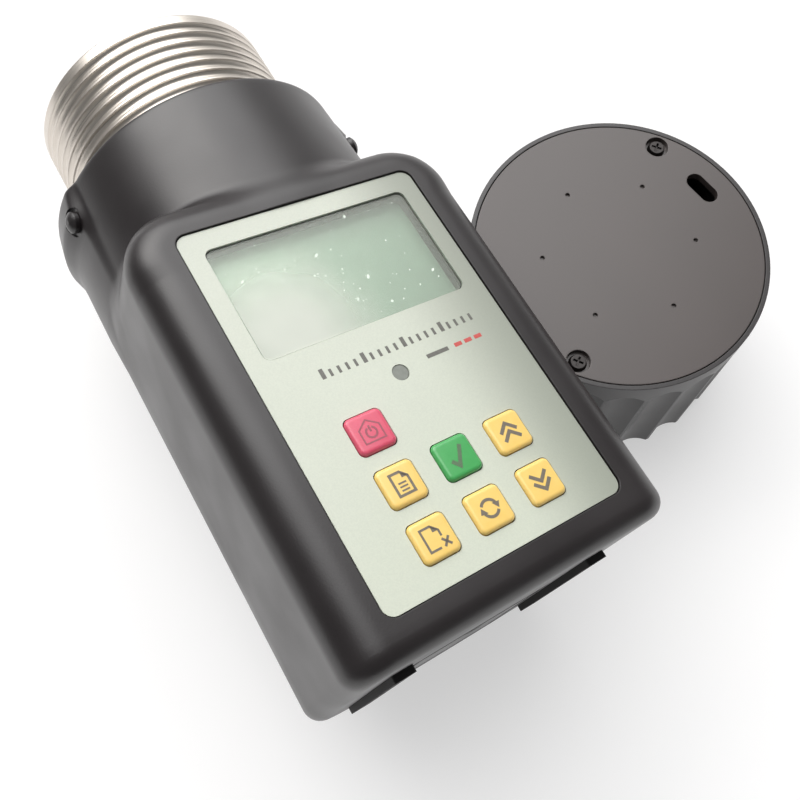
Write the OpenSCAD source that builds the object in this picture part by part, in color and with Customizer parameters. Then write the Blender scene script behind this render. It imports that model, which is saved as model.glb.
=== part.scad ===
// Handheld grain moisture meter, lying on its round back, with its screw cap off and standing beside it.
//
// World frame: +Z up, Z = 0 is the table, X = 0 and Y = 0 are the middle of the whole footprint.
// Meter frame: Y runs along the chamber axis to the mouth, Z points out of the face, X to the right of
// someone reading the display. Y = 0 is the bottom end face and X = Z = 0 is the chamber axis.
// Cap frame: Z runs up the cap's axis from its open end, which stands on the table.

/* [Body] */
// Outer radius of the round body, which is also half its width
body_r = 47.2; // [45:0.2:57]
// How far the flat face stands above the round body's radius
face_rise = 1.3; // [0.5:0.1:3]
// Length of the body from its bottom end to the collar mouth
body_len = 160; // [150:1:192]
// Where the flat face ends in a steep shoulder above the collar
block_len = 123.5; // [118:0.5:147]
// Radius of the collar at its mouth
collar_r = 45.7; // [44:0.1:55]
// Thickness of the moulded walls
wall = 2.5; // [2:0.1:3]
// Thickness of the bottom end wall
end_wall = 3.5; // [3:0.1:5]
// Thickness of the collar's mouth wall
mouth_wall = 6; // [5:0.5:8]
// Radius on the long edges of the face
face_fillet = 10; // [7:0.5:12]
// Radius on the edges of the bottom end
end_fillet = 4; // [2:0.5:4.5]
// Radius of the two upper corners of the face block
shoulder_corner = 16; // [8:1:18]
// Radius on the upper edge of the face
shoulder_fillet = 6; // [3:0.5:8]
// Radius of the crest of the lug under each strap stud
lug_r = 49; // [48:0.2:58]
// How far below the chamber axis the body splits into housing and rear cover
split_drop = 14; // [8:1:18]

/* [Face] */
// Width of the printed label
label_w = 68.6; // [62:0.5:72]
// Length of the printed label
label_len = 104; // [98:0.5:106]
// Thickness of the printed label
label_t = 0.7; // [0.4:0.1:1]
// Distance from the bottom end to the middle of the label
label_y = 61.3; // [58:0.5:64]
// Width of the display opening
display_w = 58.4; // [50:0.2:60]
// Height of the display opening
display_h = 33.5; // [28:0.5:36]
// Distance from the label's middle up to the display's middle
display_up = 29.6; // [28:0.2:31]
// Side of a square key
key_side = 10; // [8:0.5:11]
// Distance between key columns
key_pitch_x = 15.6; // [14.5:0.1:17]
// Distance between key rows
key_pitch_y = 14.2; // [13.8:0.1:15]
// Travel of a key
key_travel = 0.5; // [0.3:0.1:0.6]

/* [Measuring chamber] */
// Crest radius of the outside thread
ring_r = 38; // [34:0.5:38]
// Wall of the chamber tube under the thread crests
ring_wall = 3.5; // [3:0.1:4.2]
// Length of the threaded ring that stands out of the collar
ring_out = 35; // [32:0.5:40]
// Distance from the mouth down to the chamber floor
chamber_depth = 67; // [60:1:70]
// Thread pitch
thread_pitch = 3.85; // [3.5:0.05:5]
// Depth of the thread grooves
thread_depth = 1.2; // [0.8:0.1:1.5]
// Radius of the centre electrode
electrode_r = 7; // [5:0.5:9]
// Length of the centre electrode above the chamber floor
electrode_len = 36; // [20:1:40]

/* [Cap] */
// Height of the cap
cap_h = 52.5; // [50:0.5:63]
// Radius of the cap's plain rim at its closed end
cap_top_r = 46.3; // [45:0.1:56]
// Radius of the cap at its open end
cap_base_r = 49; // [48:0.2:59]
// Thickness of the flush disc in the closed end
disc_t = 2.5; // [2:0.1:3]
// Width of the rim around the disc
rim_w = 1.4; // [1.2:0.1:2]
// Number of grip scallops
scallops = 24; // [16:1:28]
// Depth of a grip scallop
scallop_depth = 2.2; // [1:0.1:2.4]
// Gap between the pressure plate and the chamber's bore
plate_gap = 0.9; // [0.6:0.1:4]
// Travel of the pressure plate
plate_travel = 4; // [2:0.5:4]

/* [Resting place] */
// How far the meter lies rolled over on its round back, towards the cap
roll = 16.3; // [0:0.1:20]
// Gap between the meter's side and the cap's rim
cap_gap = 3.5; // [2:0.5:10]
// Distance from the bottom end along the meter to the cap's axis
cap_along = 74; // [50:1:110]

/* [Fits] */
// Gap around a piece that sits in a recess
seat_gap = 0.3; // [0.2:0.05:0.5]
// Gap around a sliding key
slide_gap = 0.2; // [0.15:0.05:0.3]
// Radial clearance of a running pin
pin_gap = 0.05; // [0.03:0.01:0.1]

/* [Hidden] */

$fn = 72;
big = 400;                     // a length longer than the whole object
skin = 0.02;                   // how far a cut runs past the face that it opens

// Heights through the face, measured from the chamber axis
face_h = body_r + face_rise;
recess_d = 1.2;                // depth of the label's recess
face_wall = 3;                 // thickness of the face
label_z = face_h - recess_d;
inner_face_z = face_h - face_wall;
display_corner = 2.2;
window_t = 1.2;
window_lap = 2.5;              // how far the label overlaps the window's edge
gasket_t = 2.5;
glass_t = 2;
window_z = label_z - window_t; // the window lies in a rebate under the label
gasket_z = inner_face_z - gasket_t;
glass_z = gasket_z - glass_t;
backlight_t = 3;
board_top = glass_z - backlight_t;
board_t = 1.6;
board_z = board_top - board_t;

// Bottom feet, two rubber strips
foot_x = 30;
foot_w = 6;
foot_len = 48;
foot_out = 1.9;
foot_sink = 1;
foot_mid_z = 4;

// Shoulder behind the face, and the rear cover's opening
shoulder_slope = 80;
cover_y0 = 8;
cover_y1 = block_len - 4;
lip = 3;                       // how far the cover's lip reaches under the housing

// Screws: thread radius, head radius and head height
screw_r = 1.5;
head_r = 2.8;
head_h = 2.2;
boss_r = 4;
cover_screw_x = body_r - wall - 9.7;
cover_screw_y = [cover_y0 + 8, cover_y1 - 8];
cover_boss_top = 12;
head_seat_z = -split_drop - 6;

// Board and its bosses
board_w = 2 * (body_r - wall - 5.7);
board_y0 = end_wall + 6.5;
board_len = block_len - 8 - board_y0;
board_boss_r = 3;
board_boss_x = board_w / 2 - 4;
board_boss_y = [board_y0 + 4, board_y0 + board_len - 4];

// Keys: column and row of each
key_corner = 1.5;
key_low_row = 20.1;            // height of the lowest row above the bottom end
key_stand = 0.6;               // how far a key stands out of the label
key_flange = 1;
key_flange_t = 0.9;
key_drop = 0.4;                // rest gap between a key's flange and the inside of the face
stem_r = 1.7;
switch_side = 6;
switch_h = 3.2;
switch_floor = 0.4;

// Chamber
bore_r = ring_r - ring_wall;
mouth_y = body_len + ring_out;
floor_y = mouth_y - chamber_depth;
wall_in_y = body_len - mouth_wall;
ring_gasket_t = 1.5;
flange_t = 5;
flange_r = ring_r + 4.8;
flange_y = wall_in_y - ring_gasket_t - flange_t;
ring_screw_at = ring_r + 2.5;  // radius of the circle of ring screws
ring_screw_r = 1.25;
ring_screw_count = 6;
tube_r = ring_r - 1;           // plain tube below the flange
plug_t = 5;                    // part of the base that plugs the tube
base_t = 4;                    // part of the base under the tube
tube_end_y = floor_y - plug_t;
base_y = tube_end_y - base_t;
base_screw_r = bore_r + 1.2;
electrode_stem_r = 3;
nut_t = 3;
probe_r = 2.5;
probe_at = 19;                 // distance of the probe from the axis
probe_len = 14;

// Thread grooves
thread_land = 6.6;             // plain band between the collar and the first groove
thread_lip = 5.3;              // plain band at the mouth
thread_turns = round((ring_out - thread_land - thread_lip) / thread_pitch);

// Strap studs on the collar
stud_y = body_len - 10;
stud_turn = 18;                // angle of the studs above the side-to-side line
stud_seat = collar_r + 1.6;    // radius of the spot faces in which the studs sit
stud_head_r = 3;
stud_neck_r = 2.2;
stud_out = 2.6;
lug_y = stud_y - 3.2;          // lower end of the lug under a stud
lug_rise = 4.6;                // length over which the lug rises to its crest
lug_low_z = -22;
lug_high_z = 19;

// Battery bay: four AA cells in two layers
cell_r = 7.15;
cell_len = 50.5;
nub_r = 2.7;
nub_h = 1;
cell_gap = 0.25;
cell_pitch = 15.8;
bay_wall = 1.4;
bay_side = cell_pitch + 2 * (cell_r + cell_gap + bay_wall);
bay_z = -8;
contact_t = 0.5;
spring_len = 2.6;
door_t = 2;
door_side = bay_side + 3;
door_plug = 1.2;               // how far the door's inner rim enters the bay's opening
bay_y0 = end_wall;
contact_y0 = door_t + door_plug + contact_t;     // inner face of the door's contacts
bay_inner = contact_y0 + 2 * contact_t + spring_len + cell_len + 2 * seat_gap;
bay_floor_t = 2;
ear_len = 8;
ear_t = 2.5;
ear_y = bay_y0 + 6;

// Cap
disc_r = cap_top_r - rim_w - seat_gap;
disc_seat_z = cap_h - disc_t;
web_z = ring_out + 1;
web_t = 2.5;
thread_gap = 0.3;
female_minor = ring_r - thread_depth + thread_gap;
female_major = ring_r + thread_gap;
skirt_t = 2.2;                 // wall behind the inside thread
cap_wall = 2.6;
scallop_cut_r = 10;
scallop_top = cap_h - 5;       // height at which the rounded scallop tops end
rib_t = 2;
rib_count = 12;
plate_t = 4;
plate_r = bore_r - plate_gap;
guide_h = 4;                   // sleeve round the plate's stem
plate_spare = 1;               // gap left between plate and sleeve when the plate is fully in
plate_z = web_z - guide_h - plate_spare - plate_travel - plate_t;
plate_stem_r = 6;
washer_r = 9;
washer_t = 1.2;
seal_t = 1.5;
disc_screw_r = cap_top_r - 6;
disc_turn = 37.5;              // turn of the screws and of the six dimples
dimple_ring = 24.2;
dimple_r = 0.7;
slot_ring = 35.8;
slot_turn = 7.9;
slot_len = 11.5;
slot_w = 5.6;

// Where the two halves stand
meter_reach = (body_r + (cap_h - body_r) * sin(roll)) / cos(roll);
cap_from_meter = meter_reach + cap_gap + cap_top_r;
footprint_x = lug_r + cap_from_meter + cap_base_r;
meter_x = lug_r - footprint_x / 2;
cap_x = meter_x + cap_from_meter;
meter_y = -(mouth_y - foot_out) / 2;
cap_y = meter_y + cap_along;

module in_meter() {
    translate([meter_x, meter_y, body_r]) rotate([0, roll, 0]) children();
}

module in_cap() {
    translate([cap_x, cap_y, 0]) children();
}

// ---- drawing aids ----

// A flat outline drawn in X and Z, pushed along Y
module along_y(y0, len) {
    translate([0, y0, 0]) rotate([-90, 0, 0]) linear_extrude(len) mirror([0, 1]) children();
}

// A cylinder whose axis is parallel to Y
module rod_y(r, y0, y1, x = 0, z = 0) {
    translate([x, y0, z]) rotate([-90, 0, 0]) cylinder(r = r, h = y1 - y0);
}

// A ring whose axis is the chamber axis
module tube_y(r_out, r_in, y0, y1) {
    difference() {
        rod_y(r_out, y0, y1);
        rod_y(r_in, y0 - skin, y1 + skin);
    }
}

module round_rect(w, h, r) {
    square([w, h - 2 * r], center = true);
    square([w - 2 * r, h], center = true);
    for (sx = [-1, 1], sy = [-1, 1]) translate([sx * (w / 2 - r), sy * (h / 2 - r)]) circle(r, $fn = 32);
}

// A block with rounded upright edges, standing on z0 in the meter frame
module plate(w, h, r, x, y, z0, t) {
    translate([x, y, z0]) linear_extrude(t) round_rect(w, h, r);
}

// A pan head screw pointing along +Z, with the underside of its head at 0
module screw(len, r = screw_r, hr = head_r, hh = head_h) {
    difference() {
        union() {
            cylinder(r = r, h = len, $fn = 32);
            translate([0, 0, -hh]) cylinder(r1 = hr * 0.8, r2 = hr, h = hh, $fn = 32);
        }
        for (a = [0, 90]) rotate(a) translate([-hr * 0.55, -hr * 0.11, -hh - skin])
            cube([hr * 1.1, hr * 0.22, hh * 0.6]);
    }
}

// A round wire or lead through the given points
module lead(points, r, across = [1, 0, 0]) {
    sides = 8;
    n = len(points);
    dirs = [for (i = [0 : n - 1]) let (d = points[min(i + 1, n - 1)] - points[max(i - 1, 0)]) d / norm(d)];
    rings = [for (i = [0 : n - 1])
        let (u = cross(dirs[i], across), un = u / norm(u), v = cross(dirs[i], un))
        for (k = [0 : sides - 1]) points[i] + r * (cos(360 * k / sides) * un + sin(360 * k / sides) * v)];
    walls = [for (i = [0 : n - 2], k = [0 : sides - 1]) let (a = i * sides + k,
        b = i * sides + (k + 1) % sides)
        [b, a, a + sides, b + sides]];
    polyhedron(rings, concat([[for (k = [0 : sides - 1]) k]], walls,
        [[for (k = [sides - 1 : -1 : 0]) (n - 1) * sides + k]]));
}

// Points of a coil spring along +Z
function coil(r, len, turns, steps = 14) =
    [for (i = [0 : turns * steps]) let (a = 360 * i / steps) [r * cos(a), r * sin(a),
        len * i / (turns * steps)]];

// ---- body shape ----

module front_section(inset = 0) {
    hw = body_r - inset;
    top = face_h - (inset > 0 ? face_wall : 0);
    f = face_fillet - inset;
    translate([-hw, 0]) square([2 * hw, top - f]);
    translate([-(hw - f), 0]) square([2 * (hw - f), top]);
    for (s = [-1, 1]) translate([s * (hw - f), top - f]) circle(f);
}

// The round part: a cylinder that narrows a little to the collar's mouth
module round_part(inset = 0) {
    y0 = inset > 0 ? end_wall : 0;
    y1 = body_len - (inset > 0 ? mouth_wall : 0);
    f = max(end_fillet - inset, 0.5);
    rotate([-90, 0, 0]) rotate_extrude() difference() {
        polygon([[0, y0], [body_r - inset, y0], [body_r - inset, block_len], [collar_r - inset, y1], [0,
            y1]]);
        translate([body_r - inset - f, y0 - skin]) difference() {
            square([f + 1, f + skin]);
            translate([0, f + skin]) circle(f);
        }
    }
}

// The raised face block: flat on top, with a steep rounded shoulder above the collar
module block_part(inset = 0) {
    y0 = inset > 0 ? end_wall : 0;
    f = max(end_fillet + 2 - inset, 1);
    hw = body_r - inset;
    top = face_h - (inset > 0 ? face_wall : 0);
    shoulder_y = block_len + ((face_h - top) * cos(shoulder_slope) - inset) / sin(shoulder_slope);
    r = shoulder_fillet - inset;
    end_y = body_len - (inset > 0 ? mouth_wall : 0);
    intersection() {
        along_y(y0, end_y - y0) front_section(inset);
        // lower and upper edges of the face
        translate([-big / 2, 0, 0]) rotate([90, 0, 90]) linear_extrude(big) difference() {
            translate([y0, 0]) square([big, top]);
            translate([y0 - skin, top - f]) difference() {
                square([f + skin, f + 1]);
                translate([f + skin, 0]) circle(f);
            }
            translate([shoulder_y - r * tan(shoulder_slope / 2), top - r]) difference() {
                rotate(90 - shoulder_slope) square([r + 8, r + 8]);
                translate([-big, -1]) square([big, big]);
                circle(r);
            }
        }
        // bottom corners, seen from the front
        linear_extrude(big) translate([0, y0 + big / 2]) round_rect(2 * hw, big, end_fillet);
        // steep shoulder and its two corners
        translate([0, shoulder_y, top]) rotate([shoulder_slope, 0, 0]) translate([0, -big / 2, -big / 2])
            linear_extrude(big) round_rect(2 * hw, big, shoulder_corner - inset);
    }
}

// The lug under a strap stud: part of a cone that rises fast to its crest and falls towards the mouth
module lug() intersection() {
    union() {
        translate([0, lug_y, 0]) rotate([-90, 0, 0]) cylinder(r1 = collar_r, r2 = lug_r, h = lug_rise);
        translate([0, lug_y + lug_rise, 0]) rotate([-90, 0, 0])
            cylinder(r1 = lug_r, r2 = stud_seat, h = body_len - lug_y - lug_rise);
    }
    translate([30, lug_y, lug_low_z]) cube([big, body_len - lug_y, lug_high_z - lug_low_z]);
}

module body_shape(inset = 0) {
    round_part(inset);
    block_part(inset);
}

// The display opening through the face and its surround
module display_hole(z0, h) {
    plate(display_w, display_h, display_corner, 0, label_y + display_up, z0, h);
}

// The part of space behind the split that the rear cover fills
module behind_split(grow = 0) {
    translate([-big / 2, cover_y0 - grow, -split_drop - big + grow])
        cube([big, cover_y1 - cover_y0 + 2 * grow, big]);
}

function key_x(col) = (col - 1) * key_pitch_x;
function key_y(row) = key_low_row + (2 - row) * key_pitch_y;
KEYS = [[0, 0], [0, 1], [0, 2], [1, 1], [1, 2], [2, 1], [2, 2]];

// ---- meter pieces ----

// Moulded housing: face, sides, bottom end and collar in one piece, open at the back
module main_housing() color([0.13, 0.13, 0.13]) in_meter() {
    difference() {
        union() {
            body_shape();
            for (s = [0, 1]) mirror([s, 0, 0]) lug();
        }
        body_shape(wall);
        behind_split();
        // chamber hole in the mouth wall, and its blind screw holes
        rod_y(ring_r + seat_gap, wall_in_y - 1, body_len + 1);
        for (i = [0 : ring_screw_count - 1]) rotate([0, i * 360 / ring_screw_count, 0])
            rod_y(ring_screw_r, wall_in_y - 1, body_len - 2, ring_screw_at);
        // label recess, display opening, key holes and status hole
        plate(label_w + 2 * seat_gap, label_len + 2 * seat_gap, 3 + seat_gap, 0, label_y, label_z,
            recess_d + 1);
        display_hole(inner_face_z - 1, face_wall + 2);
        plate(display_w + 2 * window_lap + 2 * seat_gap, display_h + 2 * window_lap + 2 * seat_gap,
            display_corner,
            0, label_y + display_up, window_z, face_wall);
        for (k = KEYS) plate(key_side + 2 * slide_gap, key_side + 2 * slide_gap, key_corner + slide_gap,
            key_x(k[0]), key_y(k[1]), inner_face_z - 1, face_wall + 2);
        translate([-0.5, label_y - 2.1, inner_face_z - 1]) cylinder(r = 2.6, h = face_wall);
        // battery door recess and bay opening
        translate([-door_side / 2 - seat_gap, -1, bay_z - door_side / 2 - seat_gap])
            cube([door_side + 2 * seat_gap, 1 + door_t + seat_gap, door_side + 2 * seat_gap]);
        translate([-bay_side / 2 + bay_wall, -1, bay_z - bay_side / 2 + bay_wall])
            cube([bay_side - 2 * bay_wall, end_wall + 2, bay_side - 2 * bay_wall]);
        // seats of the two feet
        for (s = [-1, 1])
            translate([s * foot_x - foot_w / 2 - seat_gap, -1, foot_mid_z - foot_len / 2 - seat_gap])
            cube([foot_w + 2 * seat_gap, 1 + foot_sink, foot_len + 2 * seat_gap]);
        // holes for the strap studs
        for (s = [0, 1]) mirror([s, 0, 0]) translate([0, stud_y, 0]) rotate([0, 90 - stud_turn, 0]) {
            cylinder(r = stud_neck_r + pin_gap, h = big);
            translate([0, 0, stud_seat]) cylinder(r = stud_head_r + 1, h = big);
        }
    }
    // bosses for the rear cover's screws, tied to the side walls
    for (s = [-1, 1], y = cover_screw_y) difference() {
        intersection() {
            union() {
                translate([s * cover_screw_x, y, -split_drop + seat_gap])
                    cylinder(r = boss_r, h = cover_boss_top + split_drop);
                translate([s * (cover_screw_x + body_r) / 2 - (body_r - cover_screw_x) / 2, y - 1.25,
                    -split_drop + seat_gap])
                    cube([body_r - cover_screw_x, 2.5, cover_boss_top + split_drop]);
            }
            body_shape(wall - 0.5);
        }
        translate([s * cover_screw_x, y, -split_drop - 1])
            cylinder(r = screw_r, h = cover_boss_top + split_drop);
    }
    // bosses for the board, under the face
    for (s = [-1, 1], y = board_boss_y) difference() {
        translate([s * board_boss_x, y, board_top])
            cylinder(r = board_boss_r, h = inner_face_z - board_top + 0.5);
        translate([s * board_boss_x, y, board_top - 1]) cylinder(r = 1.2, h = inner_face_z - board_top);
    }
    // bosses for the battery bay's screws, on the end wall
    for (s = [-1, 1]) difference() {
        rod_y(3.2, end_wall - 0.5, ear_y, s * (bay_side + ear_len) / 2, bay_z);
        rod_y(1.2, end_wall + 0.5, ear_y + 1, s * (bay_side + ear_len) / 2, bay_z);
    }
}

// Curved rear cover with a locating lip and four sunk screw columns
module rear_cover() color([0.12, 0.12, 0.12]) in_meter() difference() {
    union() {
        intersection() {
            difference() {
                rod_y(body_r, 0, block_len);
                rod_y(body_r - wall, -1, block_len + 1);
            }
            behind_split(-seat_gap);
        }
        intersection() {
            difference() {
                rod_y(body_r - wall - seat_gap / 2, 0, block_len);
                rod_y(body_r - wall - 1.8, -1, block_len + 1);
            }
            translate([-big / 2, cover_y0 - lip, -split_drop - big - seat_gap])
                cube([big, cover_y1 - cover_y0 + 2 * lip, big]);
        }
        // a band that joins the lip to the shell
        intersection() {
            difference() {
                rod_y(body_r - 1, 0, block_len);
                rod_y(body_r - wall - 1.8, -1, block_len + 1);
            }
            behind_split(-1);
        }
        intersection() {
            for (s = [-1, 1], y = cover_screw_y) translate([s * cover_screw_x, y, -body_r])
                cylinder(r = boss_r, h = body_r - split_drop);
            rod_y(body_r - 1, 0, block_len);
        }
    }
    for (s = [-1, 1], y = cover_screw_y) translate([s * cover_screw_x, y, 0]) {
        translate([0, 0, -body_r]) cylinder(r = screw_r + 0.2, h = body_r);
        translate([0, 0, -body_r - 1]) cylinder(r = head_r + seat_gap, h = body_r + 1 + head_seat_z);
    }
}

module cover_screws() color([0.25, 0.25, 0.26]) in_meter()
    for (s = [-1, 1], y = cover_screw_y) translate([s * cover_screw_x, y, head_seat_z]) screw(16);

// Printed label with openings for the display, keys and status lens
module face_label() color([0.72, 0.76, 0.72]) in_meter() difference() {
    plate(label_w, label_len, 3, 0, label_y, label_z, label_t);
    display_hole(label_z - 1, label_t + 2);
    for (k = KEYS) plate(key_side + 2 * slide_gap, key_side + 2 * slide_gap, key_corner + slide_gap,
        key_x(k[0]), key_y(k[1]), label_z - 1, label_t + 2);
    translate([-0.5, label_y - 2.1, label_z - 1]) cylinder(r = 2.2, h = label_t + 2);
}

module display_window() color([0.85, 0.9, 0.88]) in_meter()
    plate(display_w + 2 * window_lap, display_h + 2 * window_lap, display_corner, 0, label_y + display_up,
        window_z, window_t);

module display_gasket() color([0.08, 0.08, 0.08]) in_meter() difference() {
    plate(display_w + 4, display_h + 4, 1, 0, label_y + display_up, gasket_z, gasket_t);
    display_hole(gasket_z - 1, gasket_t + 2);
}

module lcd_panel() color([0.70, 0.78, 0.72]) in_meter()
    plate(display_w + 2, display_h + 2.5, 0.5, 0, label_y + display_up, glass_z, glass_t);

module lcd_backlight() color([0.93, 0.93, 0.9]) in_meter()
    plate(display_w + 3.5, display_h + 4, 1, 0, label_y + display_up, board_top, backlight_t);

module status_lens() color([0.4, 0.42, 0.4]) in_meter() translate([-0.5, label_y - 2.1, 0]) {
    translate([0, 0, label_z - 1.8]) cylinder(r = 2.5, h = 1.8);
    translate([0, 0, label_z - 0.1]) cylinder(r = 2.1, h = label_t - 0.1);
}

module main_board() color([0.1, 0.35, 0.2]) in_meter() difference() {
    plate(board_w, board_len, 2, 0, board_y0 + board_len / 2, board_z, board_t);
    for (s = [-1, 1], y = board_boss_y) translate([s * board_boss_x, y, board_z - 1])
        cylinder(r = screw_r + 0.1, h = board_t + 2);
}

module board_screws() color([0.7, 0.7, 0.68]) in_meter()
    for (s = [-1, 1], y = board_boss_y) translate([s * board_boss_x, y, board_z]) screw(6, 1.2, 2.4, 1.8);

// Seven push switches on the board; each takes a key's stem
module key_switches() color([0.15, 0.15, 0.17]) in_meter() for (k = KEYS)
    translate([key_x(k[0]), key_y(k[1]), board_top])
    difference() {
        translate([-switch_side / 2, -switch_side / 2, 0]) cube([switch_side, switch_side, switch_h]);
        translate([0, 0, switch_floor]) cylinder(r = stem_r + pin_gap, h = switch_h, $fn = 32);
    }

// One key: cap through the label, flange under the face, stem down into its switch
module key(i, tint) color(tint) in_meter() translate([key_x(KEYS[i][0]), key_y(KEYS[i][1]), 0]) {
    flange_z = inner_face_z - key_drop - key_flange_t;
    top = label_z + label_t + key_stand;
    stem_low = board_top + switch_floor + key_travel + seat_gap;
    intersection() {
        plate(key_side, key_side, key_corner, 0, 0, flange_z, top - flange_z);
        // slightly crowned top
        translate([0, 0, top - 60]) sphere(r = 60, $fn = 96);
    }
    plate(key_side + 2 * key_flange, key_side + 2 * key_flange, key_corner, 0, 0, flange_z, key_flange_t);
    translate([0, 0, stem_low]) cylinder(r = stem_r, h = flange_z - stem_low + 0.1, $fn = 32);
}

module power_key() key(0, [0.85, 0.27, 0.36]);
module record_key() key(1, [0.95, 0.78, 0.4]);
module delete_key() key(2, [0.95, 0.78, 0.4]);
module confirm_key() key(3, [0.33, 0.66, 0.36]);
module repeat_key() key(4, [0.95, 0.78, 0.4]);
module up_key() key(5, [0.95, 0.78, 0.4]);
module down_key() key(6, [0.95, 0.78, 0.4]);

// Aluminium chamber ring: threaded outside, smooth bore, flange inside the collar
module chamber_ring() color([0.8, 0.77, 0.72]) in_meter() difference() {
    union() {
        rod_y(tube_r, tube_end_y, flange_y + 1);
        rod_y(flange_r, flange_y, flange_y + flange_t);
        rotate([-90, 0, 0]) rotate_extrude() difference() {
            translate([0, flange_y + 1]) square([ring_r, mouth_y - flange_y - 1]);
            for (i = [0 : thread_turns])
                translate([ring_r + thread_pitch * 0.42 - thread_depth,
                    body_len + thread_land + i * thread_pitch])
                circle(thread_pitch * 0.42, $fn = 48);
            // rounded edge at the mouth
            translate([ring_r - 1, mouth_y - 1]) difference() {
                square([2, 2]);
                circle(1, $fn = 32);
            }
        }
    }
    rod_y(bore_r, tube_end_y - 1, mouth_y + 1);
    for (i = [0 : ring_screw_count - 1]) rotate([0, i * 360 / ring_screw_count, 0])
        rod_y(ring_screw_r + 0.1, flange_y - 1, flange_y + flange_t + 1, ring_screw_at);
    for (i = [0 : 3]) rotate([0, 45 + i * 90, 0]) rod_y(0.8, tube_end_y - 1, tube_end_y + 5, base_screw_r);
}

module ring_gasket() color([0.1, 0.1, 0.1]) in_meter() difference() {
    tube_y(flange_r, ring_r + seat_gap, flange_y + flange_t, wall_in_y);
    for (i = [0 : ring_screw_count - 1]) rotate([0, i * 360 / ring_screw_count, 0])
        rod_y(ring_screw_r + 0.1, flange_y, body_len, ring_screw_at);
}

module ring_screws() color([0.72, 0.72, 0.7]) in_meter()
    for (i = [0 : ring_screw_count - 1]) rotate([0, i * 360 / ring_screw_count, 0])
        translate([ring_screw_at, flange_y, 0]) rotate([-90, 0, 0])
            screw(flange_t + ring_gasket_t + mouth_wall - 2.5, ring_screw_r, 2.1, 2);

// Insulating floor of the chamber
module chamber_base() color([0.16, 0.16, 0.17]) in_meter() difference() {
    union() {
        rod_y(bore_r - pin_gap, tube_end_y, floor_y);
        rod_y(tube_r, base_y, tube_end_y);
    }
    rod_y(electrode_stem_r + pin_gap, base_y - 1, floor_y + 1);
    rod_y(probe_r + pin_gap, base_y - 1, floor_y + 1, probe_at);
    for (i = [0 : 3]) rotate([0, 45 + i * 90, 0]) rod_y(0.9, base_y - 1, tube_end_y + 1, base_screw_r);
}

module base_screws() color([0.72, 0.72, 0.7]) in_meter()
    for (i = [0 : 3]) rotate([0, 45 + i * 90, 0]) translate([base_screw_r, base_y, 0]) rotate([-90, 0, 0])
        screw(base_t + 4, 0.8, 1.2, 1);

// Centre electrode with a rounded tip and a threaded stem through the floor
module centre_electrode() color([0.78, 0.78, 0.77]) in_meter() {
    rod_y(electrode_stem_r, base_y - nut_t - 3, floor_y + 1);
    rod_y(electrode_r, floor_y, floor_y + electrode_len - electrode_r);
    translate([0, floor_y + electrode_len - electrode_r, 0]) sphere(r = electrode_r);
}

module electrode_nut() color([0.75, 0.72, 0.6]) in_meter() difference() {
    translate([0, base_y - nut_t, 0]) rotate([-90, 0, 0]) cylinder(r = 5.8, h = nut_t, $fn = 6);
    rod_y(electrode_stem_r, base_y - nut_t - 1, base_y + 1);
}

// Temperature probe: a closed steel tube that stands in the grain
module temperature_probe() color([0.74, 0.74, 0.74]) in_meter() {
    rod_y(probe_r, base_y - 4, floor_y + probe_len - probe_r, probe_at);
    translate([probe_at, floor_y + probe_len - probe_r, 0]) sphere(r = probe_r, $fn = 48);
}

// Two domed strap studs on the collar's sides
module strap_studs() color([0.07, 0.07, 0.07]) in_meter()
    for (s = [0, 1]) mirror([s, 0, 0]) translate([0, stud_y, 0]) rotate([0, 90 - stud_turn, 0]) {
        translate([0, 0, stud_seat - wall - 1]) cylinder(r = stud_neck_r, h = wall + 1.5);
        intersection() {
            translate([0, 0, stud_seat + 0.1]) cylinder(r = stud_head_r, h = stud_out);
            translate([0, 0, stud_seat + stud_out - 4]) sphere(r = 4.2, $fn = 64);
        }
    }

module foot(side) color([0.05, 0.05, 0.05]) in_meter() translate([side * foot_x, foot_sink, foot_mid_z])
    rotate([90, 0, 0]) linear_extrude(foot_sink + foot_out) round_rect(foot_w, foot_len, 0.8);

module left_foot() foot(-1);
module right_foot() foot(1);

// Battery bay: four bores, closed at the inner end, with two screw ears
module battery_bay() color([0.1, 0.1, 0.1]) in_meter() difference() {
    union() {
        translate([-bay_side / 2, bay_y0, bay_z - bay_side / 2])
            cube([bay_side, bay_inner - bay_y0 + bay_floor_t, bay_side]);
        translate([-bay_side / 2 - ear_len, ear_y, bay_z - 5]) cube([bay_side + 2 * ear_len, ear_t, 10]);
    }
    for (sx = [-1, 1], sz = [-1, 1])
        rod_y(cell_r + cell_gap, bay_y0 - 1, bay_inner, sx * cell_pitch / 2, bay_z + sz * cell_pitch / 2);
    for (s = [-1, 1]) rod_y(1.4, ear_y - 1, ear_y + ear_t + 1, s * (bay_side + ear_len) / 2, bay_z);
    // passage for the door's inner rim
    translate([-bay_side / 2 + bay_wall, 0, bay_z - bay_side / 2 + bay_wall])
        cube([bay_side - 2 * bay_wall, door_t + door_plug + contact_t + seat_gap, bay_side - 2 * bay_wall]);
    // lead holes
    for (s = [-1, 1]) rod_y(0.9, bay_inner - 1, bay_inner + bay_floor_t + 1, s * 4, bay_z + cell_pitch / 2);
}

module bay_screws() color([0.7, 0.7, 0.68]) in_meter() for (s = [-1, 1])
    translate([s * (bay_side + ear_len) / 2, ear_y + ear_t, bay_z]) rotate([90, 0, 0])
        screw(6, 1.2, 2.4, 1.8);

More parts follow.
